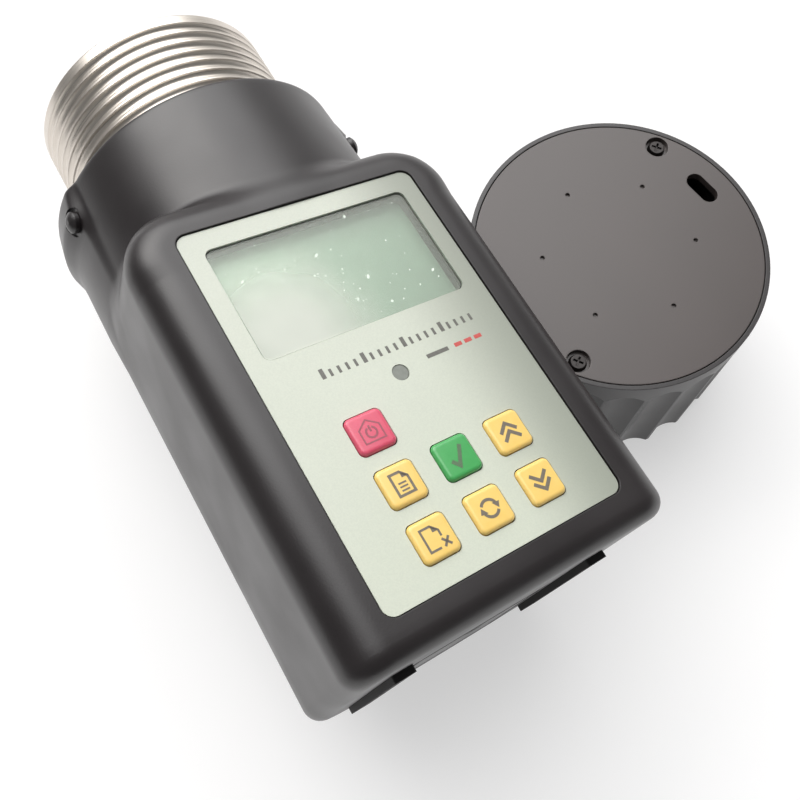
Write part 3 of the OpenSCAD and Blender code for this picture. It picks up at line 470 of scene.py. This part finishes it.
# painted shade: the print is made darker towards the right edge, which the roll turns away from the light
right_shade_ramp = add(
    tree, "ShaderNodeMapRange", {0: parts.outputs["X"], 1: 4.0, 2: 36.0, 3: 0.0, 4: 0.8},
    interpolation_type="SMOOTHSTEP",
)
right_painted_shade = add(tree, "ShaderNodeMix", {
    0: right_shade_ramp.outputs[0], 6: printed.outputs[2], 7: colour("#8d9287"),
}, data_type="RGBA")
relief = add(tree, "ShaderNodeBump", {"Height": grain.outputs[0], "Strength": 0.3, "Distance": 0.00006})
film = add(tree, "ShaderNodeBsdfPrincipled", {
    "Base Color": right_painted_shade.outputs[2], "Roughness": 0.34, "IOR": 1.5, "Normal": relief.outputs[0],
})
tree.links.new(film.outputs[0], output.inputs[0])
finish_node("face_label", label_film)

# Generic print where a maker would put a name: plain graduations over a row of short bars.


def ribbon(points, width, closed=False):
    """Flat stroke of that width along the points, as (vertices, faces) in the XY plane."""
    count = len(points)
    points = [Vector(p).to_2d() for p in points]
    left, right = [], []
    for i, p in enumerate(points):
        before = points[i - 1] if i or closed else None
        after = points[(i + 1) % count] if i < count - 1 or closed else None
        if before is None:
            before = p - (after - p)
        if after is None:
            after = p + (p - before)
        d1, d2 = (p - before).normalized(), (after - p).normalized()
        n1, n2 = Vector((-d1.y, d1.x)), Vector((-d2.y, d2.x))
        n = (n1 + n2).normalized()
        reach = width / 2 / max(n.dot(n1), 0.4)
        left.append(p + n * reach)
        right.append(p - n * reach)
    vertices = left + right
    steps = count if closed else count - 1
    faces = [(i, count + i, count + (i + 1) % count, (i + 1) % count) for i in range(steps)]
    return [(v.x, v.y) for v in vertices], faces


ink_thickness = 0.03            # mm


def ink(name, strokes, height):
    """Printed marks: each stroke or patch becomes a thin flat plate at that height."""
    shape = bmesh.new()
    for vertices, faces in strokes:
        low = [shape.verts.new((x, y, height)) for x, y in vertices]
        top = [shape.verts.new((x, y, height + ink_thickness)) for x, y in vertices]
        rims = {}
        for face in faces:
            shape.faces.new([top[i] for i in face])
            shape.faces.new([low[i] for i in reversed(face)])
            for a, b in zip(face, face[1:] + face[:1]):
                rims[(a, b)] = True
        for a, b in rims:
            if (b, a) not in rims:
                shape.faces.new([low[a], low[b], top[b], top[a]])
    bmesh.ops.recalc_face_normals(shape, faces=shape.faces)
    mesh = bpy.data.meshes.new(name)
    shape.to_mesh(mesh)
    shape.free()
    made = bpy.data.objects.new(name, mesh)
    bpy.context.scene.collection.objects.link(made)
    return made


def box_stroke(x0, y0, x1, y1):
    """A filled upright rectangle between two corners."""
    return [(x0, y0), (x1, y0), (x1, y1), (x0, y1)], [(0, 1, 2, 3)]


def ink_material(name, code):
    """Screen-printed ink, dry on its ground: an even colour with a trace of mottling."""
    made, tree, output = blank_material(name)
    place = add(tree, "ShaderNodeTexCoord")
    mottle = add(tree, "ShaderNodeTexNoise", {"Vector": place.outputs["Object"], "Scale": 1000 / 0.6})
    fade = add(tree, "ShaderNodeMapRange", {0: mottle.outputs[0], 3: 0.0, 4: 0.18})
    tone = add(tree, "ShaderNodeMix", {
        0: fade.outputs[0], 6: colour(code), 7: colour("#b9bcb2"),
    }, data_type="RGBA")
    shader = add(tree, "ShaderNodeBsdfPrincipled", {"Base Color": tone.outputs[2], "Roughness": 0.38})
    tree.links.new(shader.outputs[0], output.inputs[0])
    return made


ink_grey = ink_material("grey screen ink", "#5f5d58")
ink_red = ink_material("red screen ink", "#c8433f")
label_top = 48.0
# twenty graduations, each fifth one wider and longer, and under them one grey bar and three red ones
mark_left, mark_pitch, mark_foot = -19, 2.3, label_y + 3.6
bar_low, bar_high, red_bar_left, red_bar_pitch, red_bar_w = label_y - 1.6, label_y - 0.5, 16.5, 3.1, 2.2
marks = []
for i in range(20):
    mark_w, mark_rise = (0.75, 5.6) if i % 5 else (1.1, 6.4)
    left = mark_left + i * mark_pitch
    marks.append(box_stroke(left, mark_foot, left + mark_w, label_y + mark_rise))
marks.append(box_stroke(8, bar_low, 14.5, bar_high))
scale_marks = ink("printed_scale", marks, label_top)
scale_marks.data.materials.append(ink_grey)
settle(scale_marks, "printed_scale", METER)
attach(scale_marks, "meter")
red_bars = []
for i in range(3):
    left = red_bar_left + i * red_bar_pitch
    red_bars.append(box_stroke(left, bar_low, left + red_bar_w, bar_high))
red_marks = ink("printed_red_scale", red_bars, label_top)
red_marks.data.materials.append(ink_red)
settle(red_marks, "printed_red_scale", METER)
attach(red_marks, "meter")

# ---------------------------------------------------------------- display
# A clear acrylic window lies in a rebate under the label, with its protective film still on. Behind it
# are a foam frame and a reflective LCD on its white light guide. The small status lens is here too.

clear_window, tree, output = blank_material("clear acrylic window")
glass = add(tree, "ShaderNodeBsdfPrincipled", {
    "Base Color": colour("#f4faf6"), "Roughness": 0.04, "IOR": 1.49, "Transmission Weight": 1.0,
})
through = add(tree, "ShaderNodeBsdfTransparent", {"Color": colour("#f2f6f3")})
rays = add(tree, "ShaderNodeLightPath")
mixed = add(tree, "ShaderNodeMixShader", {
    0: rays.outputs["Is Shadow Ray"], 1: glass.outputs[0], 2: through.outputs[0],
})
tree.links.new(mixed.outputs[0], output.inputs[0])
finish_node("display_window", clear_window)

# The window's protective film is still on: thin, a little hazy, with specks of trapped air under it.
haze_film, tree, output = blank_material("hazy protective film")
place = add(tree, "ShaderNodeTexCoord")
cloud = add(tree, "ShaderNodeTexNoise", {
    "Vector": place.outputs["Object"], "Scale": 1000 / 14.0, "Detail": 1.0,
})
# the film is a little hazy all over, and its haze is made thickest low on the left as a painted reflection
# of the window there
painted_reflection_spot = METER @ Vector((-19, 80, 47.4))
away = add(tree, "ShaderNodeVectorMath", {0: place.outputs["Object"], 1: painted_reflection_spot}, operation="DISTANCE")
reach = add(tree, "ShaderNodeMath", {
    0: cloud.outputs[0], 1: 0.008, 2: away.outputs["Value"],
}, operation="MULTIPLY_ADD")
haze = add(
    tree, "ShaderNodeMapRange", {0: reach.outputs[0], 1: 0.008, 2: 0.03, 3: 0.6, 4: 0.12},
    interpolation_type="SMOOTHSTEP",
)
clear = add(tree, "ShaderNodeBsdfTransparent", {"Color": colour("#fbfdfb")})
veil = add(tree, "ShaderNodeBsdfPrincipled", {
    "Base Color": colour("#e9ece2"), "Roughness": 0.12, "IOR": 1.5,
})
over = add(tree, "ShaderNodeMixShader", {0: haze.outputs[0], 1: clear.outputs[0], 2: veil.outputs[0]})
tree.links.new(over.outputs[0], output.inputs[0])
film_w, film_h, film_t, film_corner, film_z = 57.8, 32.9, 0.12, 2.0, 47.42
film = rounded_block(film_w, film_h, film_t, film_corner, (0, display_y, film_z))
film.data.materials.clear()
film.data.materials.append(haze_film)
settle(film, "protective_film", METER)
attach(film, "meter")

# specks under the film: most lie in a loose cloud left of the middle, the rest anywhere
random.seed(7)
speck_z, speck_depth = 47.33, 0.06
specks = bmesh.new()
for i in range(120):
    if i < 70:
        x, y = random.gauss(-11, 9), random.gauss(88, 7)
    else:
        x, y = random.uniform(-27, 27), random.uniform(76, 106)
    if abs(x) > 27.5 or abs(y - display_y) > 15.5:
        continue
    size = random.uniform(0.09, 0.22) if i % 9 else random.uniform(0.3, 0.5)
    turn = Matrix.Rotation(random.uniform(0.6, 1.2), 4, "Z")
    stretch = Matrix.Diagonal((size * random.uniform(1, 2.2), size, speck_depth, 1))
    shape = Matrix.Translation((x, y, speck_z)) @ turn @ stretch
    bmesh.ops.create_icosphere(specks, subdivisions=1, radius=1, matrix=shape)
mesh = bpy.data.meshes.new("film_specks")
specks.to_mesh(mesh)
specks.free()
film_specks = bpy.data.objects.new("film_specks", mesh)
bpy.context.scene.collection.objects.link(film_specks)
speck_white, tree, output = blank_material("trapped air specks")
place = add(tree, "ShaderNodeTexCoord")
patch = add(tree, "ShaderNodeTexNoise", {"Vector": place.outputs["Object"], "Scale": 1000 / 3.0})
tone = add(tree, "ShaderNodeMix", {
    0: patch.outputs[0], 6: colour("#ffffff"), 7: colour("#dfeee2"),
}, data_type="RGBA")
white = add(tree, "ShaderNodeBsdfPrincipled", {"Base Color": tone.outputs[2], "Roughness": 0.25})
tree.links.new(white.outputs[0], output.inputs[0])
film_specks.data.materials.append(speck_white)
settle(film_specks, "film_specks", METER)
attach(film_specks, "meter")

# Closed-cell foam: the frame under the window, dull black with fine round cells.
foam_black, tree, output = blank_material("closed cell foam")
place = add(tree, "ShaderNodeTexCoord")
cells = add(tree, "ShaderNodeTexVoronoi", {"Vector": place.outputs["Object"], "Scale": 1000 / 0.5})
tone = add(tree, "ShaderNodeMix", {
    0: cells.outputs[0], 6: colour("#151515"), 7: colour("#2b2b2b"),
}, data_type="RGBA")
relief = add(tree, "ShaderNodeBump", {"Height": cells.outputs[0], "Strength": 0.5, "Distance": 0.0001})
soft = add(tree, "ShaderNodeBsdfPrincipled", {
    "Base Color": tone.outputs[2], "Roughness": 0.85, "Normal": relief.outputs[0],
})
tree.links.new(soft.outputs[0], output.inputs[0])
finish_node("display_gasket", foam_black)

# Reflective twisted-nematic LCD at rest: a pale grey-green field under a polariser.
lcd_green, tree, output = blank_material("reflective LCD")
along = meter_millimetres(tree)
parts = add(tree, "ShaderNodeSeparateXYZ", {0: along.outputs[0]})
cloud = add(tree, "ShaderNodeTexNoise", {"Vector": along.outputs[0], "Scale": 1 / 30.0, "Detail": 1.0})
# painted light: the field is made pale on the left and darker towards the right, for the window's reflection
# and the shade across the display
painted_light_drift = add(tree, "ShaderNodeMath", {
    0: cloud.outputs[0], 1: 18.0, 2: parts.outputs["X"],
}, operation="MULTIPLY_ADD")
across = add(
    tree, "ShaderNodeMapRange", {0: painted_light_drift.outputs[0], 1: -24.0, 2: 34.0}, interpolation_type="SMOOTHSTEP",
)
lcd_painted_light = add(tree, "ShaderNodeMix", {
    0: across.outputs[0], 6: colour("#cbdcc9"), 7: colour("#8fa293"),
}, data_type="RGBA")
crystal = add(tree, "ShaderNodeBsdfPrincipled", {
    "Base Color": lcd_painted_light.outputs[2], "Roughness": 0.3, "Coat Weight": 0.6, "Coat Roughness": 0.05,
})
tree.links.new(crystal.outputs[0], output.inputs[0])
finish_node("lcd_panel", lcd_green)

# Milky acrylic light guide with fine dots all over it.
guide_white, tree, output = blank_material("diffusing acrylic")
place = add(tree, "ShaderNodeTexCoord")
dots = add(tree, "ShaderNodeTexVoronoi", {"Vector": place.outputs["Object"], "Scale": 1000 / 1.2})
tone = add(tree, "ShaderNodeMix", {
    0: dots.outputs[0], 6: colour("#f6f5ee"), 7: colour("#e2e1da"),
}, data_type="RGBA")
milk = add(tree, "ShaderNodeBsdfPrincipled", {"Base Color": tone.outputs[2], "Roughness": 0.4})
tree.links.new(milk.outputs[0], output.inputs[0])
finish_node("lcd_backlight", guide_white)

# Smoked acrylic lens: a small grey, glossy disc.
lens_smoke, tree, output = blank_material("smoked status lens")
place = add(tree, "ShaderNodeTexCoord")
haze = add(tree, "ShaderNodeTexNoise", {"Vector": place.outputs["Object"], "Scale": 1000 / 1.5})
tone = add(tree, "ShaderNodeMix", {
    0: haze.outputs[0], 6: colour("#73776f"), 7: colour("#8d918a"),
}, data_type="RGBA")
edge = add(tree, "ShaderNodeBevel", {"Radius": 0.0003}, samples=4)
smoke = add(tree, "ShaderNodeBsdfPrincipled", {
    "Base Color": tone.outputs[2], "Roughness": 0.2, "Coat Weight": 0.4, "Normal": edge.outputs[0],
})
tree.links.new(smoke.outputs[0], output.inputs[0])
finish_node("status_lens", lens_smoke)

# ---------------------------------------------------------------- board and switches
# A green glass-fibre board hangs from four bosses under the face, on four zinc-plated screws, and
# carries seven push switches with bodies of glass-filled nylon.

# Solder mask over copper: darker green fields with paler lines, and a faint weave.
board_green, tree, output = blank_material("green solder mask")
along = meter_millimetres(tree)
tracks = add(tree, "ShaderNodeTexBrick", {
    "Vector": along.outputs[0], "Color1": colour("#12603a"), "Color2": colour("#0f5733"),
    "Mortar": colour("#2f8a55"), "Scale": 0.16, "Mortar Size": 0.03,
})
weave = add(tree, "ShaderNodeTexNoise", {"Vector": along.outputs[0], "Scale": 1 / 0.6})
relief = add(tree, "ShaderNodeBump", {"Height": weave.outputs[0], "Strength": 0.2, "Distance": 0.00004})
mask = add(tree, "ShaderNodeBsdfPrincipled", {
    "Base Color": tracks.outputs[0], "Roughness": 0.28, "Normal": relief.outputs[0],
})
tree.links.new(mask.outputs[0], output.inputs[0])
finish_node("main_board", board_green)

# Bright zinc plate: a pale metal with small changes of gloss.
zinc_steel, tree, output = blank_material("bright zinc plated steel")
place = add(tree, "ShaderNodeTexCoord")
lines = add(tree, "ShaderNodeTexNoise", {
    "Vector": place.outputs["Object"], "Scale": 1000 / 0.7, "Detail": 3.0,
})
tone = add(tree, "ShaderNodeMix", {
    0: lines.outputs[0], 6: colour("#b9b6b0"), 7: colour("#d6d3cd"),
}, data_type="RGBA")
rough = add(tree, "ShaderNodeMapRange", {0: lines.outputs[0], 3: 0.2, 4: 0.36})
edge = add(tree, "ShaderNodeBevel", {"Radius": 0.0002}, samples=4)
zinc = add(tree, "ShaderNodeBsdfPrincipled", {
    "Base Color": tone.outputs[2], "Metallic": 1.0, "Roughness": rough.outputs[0],
    "Normal": edge.outputs[0],
})
tree.links.new(zinc.outputs[0], output.inputs[0])
for name in ("board_screws", "ring_screws", "base_screws", "bay_screws", "plate_washer", "plate_screw"):
    finish_node(name, zinc_steel)


def plain_finish(name, dark, light, roughness, texture_mm, metallic=0.0):
    """A plain moulded or plated finish of two close tones with a fine relief."""
    made, tree, output = blank_material(name)
    place = add(tree, "ShaderNodeTexCoord")
    grain = add(tree, "ShaderNodeTexNoise", {
        "Vector": place.outputs["Object"], "Scale": 1000 / texture_mm, "Detail": 3.0,
    })
    tone = add(tree, "ShaderNodeMix", {
        0: grain.outputs[0], 6: colour(dark), 7: colour(light),
    }, data_type="RGBA")
    edge = add(tree, "ShaderNodeBevel", {"Radius": 0.0003}, samples=4)
    relief = add(tree, "ShaderNodeBump", {
        "Height": grain.outputs[0], "Strength": 0.25, "Distance": 0.00008, "Normal": edge.outputs[0],
    })
    shader = add(tree, "ShaderNodeBsdfPrincipled", {
        "Base Color": tone.outputs[2], "Metallic": metallic, "Roughness": roughness,
        "Normal": relief.outputs[0],
    })
    tree.links.new(shader.outputs[0], output.inputs[0])
    return made


switch_plastic = plain_finish("glass filled nylon", "#17171a", "#242428", 0.5, 0.7)
finish_node("key_switches", switch_plastic)

# ---------------------------------------------------------------- keys
# Seven silicone keys, soft pillows with a printed sign each. A flange keeps each key under the face,
# and a stem stands over its switch. They press straight in.


def key_rubber(name, code, glint):
    """Satin silicone: a soft gloss, a faint bloom and a little light from inside."""
    made, tree, output = blank_material(name)
    place = add(tree, "ShaderNodeTexCoord")
    bloom = add(tree, "ShaderNodeTexNoise", {
        "Vector": place.outputs["Object"], "Scale": 1000 / 2.5, "Detail": 3.0,
    })
    tone = add(tree, "ShaderNodeMix", {
        0: bloom.outputs[0], 6: colour(code), 7: colour(glint),
    }, data_type="RGBA")
    grain = add(tree, "ShaderNodeTexNoise", {"Vector": place.outputs["Object"], "Scale": 1000 / 0.4})
    relief = add(tree, "ShaderNodeBump", {
        "Height": grain.outputs[0], "Strength": 0.15, "Distance": 0.00006,
    })
    shader = add(tree, "ShaderNodeBsdfPrincipled", {
        "Base Color": tone.outputs[2], "Roughness": 0.27, "Coat Weight": 0.45, "Coat Roughness": 0.12,
        "Subsurface Weight": 0.08, "Subsurface Radius": (0.002, 0.001, 0.0006), "Subsurface Scale": 0.5,
        "Normal": relief.outputs[0],
    })
    tree.links.new(shader.outputs[0], output.inputs[0])
    return made


key_yellow = key_rubber("yellow silicone", "#f6cd6d", "#f9d680")
key_red = key_rubber("red silicone", "#d8506a", "#df5f78")
key_green = key_rubber("green silicone", "#43a457", "#4fae62")
sign_ink = ink_material("taupe sign ink", "#6e6457")
sign_red = ink_material("dark red sign ink", "#9c4054")
sign_green = ink_material("dark green sign ink", "#4b6b48")


def arc(radius, start, end, rise=0):
    """Points on an arc between two angles in degrees, about a centre that is rise above the key's."""
    turns = [math.radians(start + (end - start) * i / 14) for i in range(15)]
    return [(radius * math.cos(a), rise + radius * math.sin(a)) for a in turns]


# Every sign is a list of strokes and filled patches, in millimetres about the key's middle: a switch sign
# in a house, a written page, a page with a cross, a tick, two turning arrows, and double chevrons.
signs = {
    "power_key": [
        ribbon([(-2.7, -2.6), (-2.7, 1.0), (0, 3.0), (2.7, 1.0), (2.7, -2.6)], 0.4, True),
        ribbon(arc(1.35, 115, 425, -0.3), 0.5), ribbon([(0, -0.1), (0, 1.5)], 0.5),
    ],
    "record_key": [
        ribbon([(-2.1, -2.7), (-2.1, 2.7), (0.6, 2.7), (2.1, 1.2), (2.1, -2.7)], 0.65, True),
        ([(0.6, 2.9), (0.6, 1.2), (2.3, 1.2)], [(0, 1, 2)]), ribbon([(-1.0, 0.1), (1.1, 0.1)], 0.42),
        ribbon([(-1.0, -0.8), (1.1, -0.8)], 0.42), ribbon([(-1.0, -1.7), (1.1, -1.7)], 0.42),
    ],
    "delete_key": [
        ribbon([(0.2, -2.7), (-2.6, -2.7), (-2.6, 2.7), (0.1, 2.7), (1.6, 1.2), (1.6, -0.3)], 0.55),
        ([(0.1, 2.9), (0.1, 1.2), (1.8, 1.2)], [(0, 1, 2)]), ribbon([(1.2, -2.9), (3.0, -0.9)], 0.6),
        ribbon([(1.2, -0.9), (3.0, -2.9)], 0.6),
    ],
    "confirm_key": [ribbon([(-2.0, -0.6), (-0.6, -2.3), (2.0, 2.5)], 1.0)],
    "repeat_key": [
        ribbon(arc(2.1, 20, 150), 0.75), ribbon(arc(2.1, 200, 330), 0.75),
        ([(3.0, 0.7), (1.0, 0.9), (2.2, -0.8)], [(0, 1, 2)]),
        ([(-3.0, -0.7), (-1.0, -0.9), (-2.2, 0.8)], [(0, 1, 2)]),
    ],
    "up_key": [
        ribbon([(-2.4, 0.0), (0, 2.2), (2.4, 0.0)], 0.95),
        ribbon([(-2.4, -2.2), (0, 0.0), (2.4, -2.2)], 0.95),
    ],
    "down_key": [
        ribbon([(-2.4, 0.0), (0, -2.2), (2.4, 0.0)], 0.95),
        ribbon([(-2.4, 2.2), (0, 0.0), (2.4, 2.2)], 0.95),
    ],
}
key_finish = {
    "power_key": (key_red, sign_red, "key_red"), "confirm_key": (key_green, sign_green, "key_green"),
}
key_top, key_depth, key_corner, key_crown = 48.9, 4.6, 1.6, 1.15
flange_side, flange_t, flange_z, flange_corner = 12.0, 0.9, 44.65, 1.5
stem_r, stem_low, stem_high = 1.7, 41.6, 44.3
for name, (column, row) in key_places.items():
    x, y = key_centre(column, row)
    rubber, sign, slot_name = key_finish.get(name, (key_yellow, sign_ink, "key_yellow"))
    pillow = rounded_block(key_side, key_side, key_depth, key_corner, (0, 0, key_top - key_depth / 2), 6)
    bpy.ops.object.mode_set(mode="EDIT")
    shape = bmesh.from_edit_mesh(pillow.data)
    for face in shape.faces:
        face.select = False
    for edge in shape.edges:
        edge.select = all(abs(v.co.z - key_top) < 1e-3 for v in edge.verts)
    bmesh.update_edit_mesh(pillow.data)
    bpy.ops.mesh.bevel(offset=key_crown, segments=7, affect="EDGES", profile=0.55)
    bpy.ops.object.mode_set(mode="OBJECT")
    flange = rounded_block(flange_side, flange_side, flange_t, flange_corner, (0, 0, flange_z), 4)
    stem = rod(stem_r, (0, 0, stem_low), (0, 0, stem_high), "Z", 32)
    for part in (pillow, flange, stem):
        part.data.materials.clear()
        part.data.materials.append(rubber)
    # the sign is printed on the crown, just clear of it
    marks = ink(name + "_sign", signs[name], key_top + 0.005)
    marks.data.materials.append(sign)
    bpy.ops.object.select_all(action="DESELECT")
    for part in (flange, stem, marks, pillow):
        part.select_set(True)
    bpy.context.view_layer.objects.active = pillow
    bpy.ops.object.join()
    pillow.data.transform(Matrix.Translation((x, y, 0)))
    settle(pillow, "pillow_" + name, METER, 40)
    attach(pillow, name)
    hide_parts(name)

# ---------------------------------------------------------------- measuring chamber
# The chamber is a turned aluminium ring with a coarse rounded thread, clear anodised to a warm
# satin. A moulded floor closes it and carries the steel electrode and the temperature probe.

turned_aluminium, tree, output = blank_material("turned and anodised aluminium")
along = meter_millimetres(tree)
parts = add(tree, "ShaderNodeSeparateXYZ", {0: along.outputs[0]})
# tool lines run round the ring; real ones are finer than can be seen, so these are 0.35 mm apart
feed = add(tree, "ShaderNodeCombineXYZ", {"Y": parts.outputs["Y"]})
lines = add(tree, "ShaderNodeTexNoise", {"Vector": feed.outputs[0], "Scale": 1 / 0.35, "Detail": 1.0})
cloud = add(tree, "ShaderNodeTexNoise", {"Vector": along.outputs[0], "Scale": 1 / 9.0, "Detail": 2.0})
tone = add(tree, "ShaderNodeMix", {
    0: cloud.outputs[0], 6: colour("#d6cec4"), 7: colour("#e4ddd4"),
}, data_type="RGBA")
rough = add(tree, "ShaderNodeMapRange", {0: lines.outputs[0], 1: 0.3, 2: 0.7, 3: 0.26, 4: 0.4})
edge = add(tree, "ShaderNodeBevel", {"Radius": 0.0003}, samples=4)
relief = add(tree, "ShaderNodeBump", {
    "Height": lines.outputs[0], "Strength": 0.12, "Distance": 0.00006, "Normal": edge.outputs[0],
})
metal = add(tree, "ShaderNodeBsdfPrincipled", {
    "Base Color": tone.outputs[2], "Metallic": 1.0, "Roughness": rough.outputs[0],
    "Normal": relief.outputs[0],
})
tree.links.new(metal.outputs[0], output.inputs[0])
finish_node("chamber_ring", turned_aluminium)

# Polished stainless steel, for what touches the grain: bright, with soft reflections.
polished_steel, tree, output = blank_material("polished stainless steel")
place = add(tree, "ShaderNodeTexCoord")
lines = add(tree, "ShaderNodeTexNoise", {
    "Vector": place.outputs["Object"], "Scale": 1000 / 1.4, "Detail": 4.0,
})
tone = add(tree, "ShaderNodeMix", {
    0: lines.outputs[0], 6: colour("#bdbcba"), 7: colour("#d4d3d1"),
}, data_type="RGBA")
rough = add(tree, "ShaderNodeMapRange", {0: lines.outputs[0], 3: 0.14, 4: 0.26})
shine = add(tree, "ShaderNodeBsdfPrincipled", {
    "Base Color": tone.outputs[2], "Metallic": 1.0, "Roughness": rough.outputs[0],
})
tree.links.new(shine.outputs[0], output.inputs[0])
finish_node("centre_electrode", polished_steel)
finish_node("temperature_probe", polished_steel)

# Moulded phenolic for the floor and the plate, brass for the nut, and nitrile rubber for the gasket.
phenolic = plain_finish("black phenolic", "#191716", "#262322", 0.4, 1.1)
finish_node("chamber_base", phenolic)
finish_node("pressure_plate", phenolic)
brass = plain_finish("plain brass", "#a98a45", "#c3a65c", 0.3, 1.0, metallic=1.0)
finish_node("electrode_nut", brass)
rubber_black = plain_finish("black nitrile rubber", "#121111", "#1e1d1d", 0.7, 0.9)
finish_node("ring_gasket", rubber_black)

# ---------------------------------------------------------------- strap studs and feet
# Two domed black studs for a neck strap sit in the lugs of the collar. Two strips of black nitrile
# rubber lie in seats on the bottom end, and the meter stands on them while it is filled.

finish_node("strap_studs", abs_black)
finish_node("left_foot", rubber_black)
finish_node("right_foot", rubber_black)

# ---------------------------------------------------------------- battery bay
# Four AA cells lie in a moulded nylon bay behind the door in the bottom end, between nickelled
# contacts. Two leads go from the bay to the board, and one each from the electrode and the probe.

finish_node("battery_bay", switch_plastic)
nickel = plain_finish("nickel plated spring steel", "#bdb8a8", "#d2cdbf", 0.25, 0.8, metallic=1.0)
for name in ("bay_contacts", "door_contacts"):
    finish_node(name, nickel)

# Shrunk PVC sleeve: blue round the cells' lower ends, and nearly black from 24 mm up.
cell_wrap, tree, output = blank_material("printed cell sleeve")
along = meter_millimetres(tree)
parts = add(tree, "ShaderNodeSeparateXYZ", {0: along.outputs[0]})
band = add(tree, "ShaderNodeMath", {0: parts.outputs["Y"], 1: 24.0}, operation="GREATER_THAN")
tone = add(tree, "ShaderNodeMix", {
    0: band.outputs[0], 6: colour("#35506b"), 7: colour("#22262b"),
}, data_type="RGBA")
grain = add(tree, "ShaderNodeTexNoise", {"Vector": along.outputs[0], "Scale": 1 / 2.0})
rough = add(tree, "ShaderNodeMapRange", {0: grain.outputs[0], 3: 0.25, 4: 0.38})
sleeve = add(tree, "ShaderNodeBsdfPrincipled", {
    "Base Color": tone.outputs[2], "Roughness": rough.outputs[0],
})
tree.links.new(sleeve.outputs[0], output.inputs[0])
finish_node("batteries", cell_wrap)
# the leads are stranded wire in coloured PVC
finish_node("battery_leads", plain_finish("red PVC", "#a81c18", "#bd2a22", 0.35, 1.5))
finish_node("sensor_leads", plain_finish("white PVC", "#d2d1cb", "#e4e3de", 0.35, 1.5))

# ---------------------------------------------------------------- cap
# A fluted ABS shell with a smooth satin disc screwed into its closed end. Inside it are a rubber seal
# and a phenolic plate on a coil spring, which presses the grain down.

finish_node("cap_shell", abs_black)
# Moulded polycarbonate disc: browner and smoother than the shell, with slow changes of tone.
disc_satin, tree, output = blank_material("satin polycarbonate disc")
place = add(tree, "ShaderNodeTexCoord")
flow = add(tree, "ShaderNodeTexNoise", {
    "Vector": place.outputs["Object"], "Scale": 1000 / 30.0, "Detail": 1.0,
})
grain = add(tree, "ShaderNodeTexNoise", {
    "Vector": place.outputs["Object"], "Scale": 1000 / 0.5, "Detail": 2.0,
})
tone = add(tree, "ShaderNodeMix", {
    0: flow.outputs[0], 6: colour("#443d3b"), 7: colour("#514947"),
}, data_type="RGBA")
rough = add(tree, "ShaderNodeMapRange", {0: flow.outputs[0], 3: 0.26, 4: 0.34})
edge = add(tree, "ShaderNodeBevel", {"Radius": 0.0004}, samples=4)
relief = add(tree, "ShaderNodeBump", {
    "Height": grain.outputs[0], "Strength": 0.1, "Distance": 0.00005, "Normal": edge.outputs[0],
})
disc = add(tree, "ShaderNodeBsdfPrincipled", {
    "Base Color": tone.outputs[2], "Roughness": rough.outputs[0], "IOR": 1.58,
    "Normal": relief.outputs[0],
})
tree.links.new(disc.outputs[0], output.inputs[0])
finish_node("cap_disc", disc_satin)
finish_node("cap_screws", screw_black)
finish_node("cap_seal", plain_finish("red silicone seal", "#8c2c1f", "#a13a2a", 0.5, 1.2))

# The plate's spring is nickelled steel. What shows is a copy of it, carried with the cap.
finish_node("pressure_spring", nickel)
spring = NODES["pressure_spring"].copy()
spring.data = NODES["pressure_spring"].data.copy()
spring.name = spring.data.name = "plate_spring"
bpy.context.scene.collection.objects.link(spring)
for key in [key for key in spring.keys() if key.startswith("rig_")]:
    del spring[key]
spring.parent = None
spring.matrix_world = NODES["pressure_spring"].matrix_world
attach(spring, "cap")
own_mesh(spring)
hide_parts("pressure_spring")
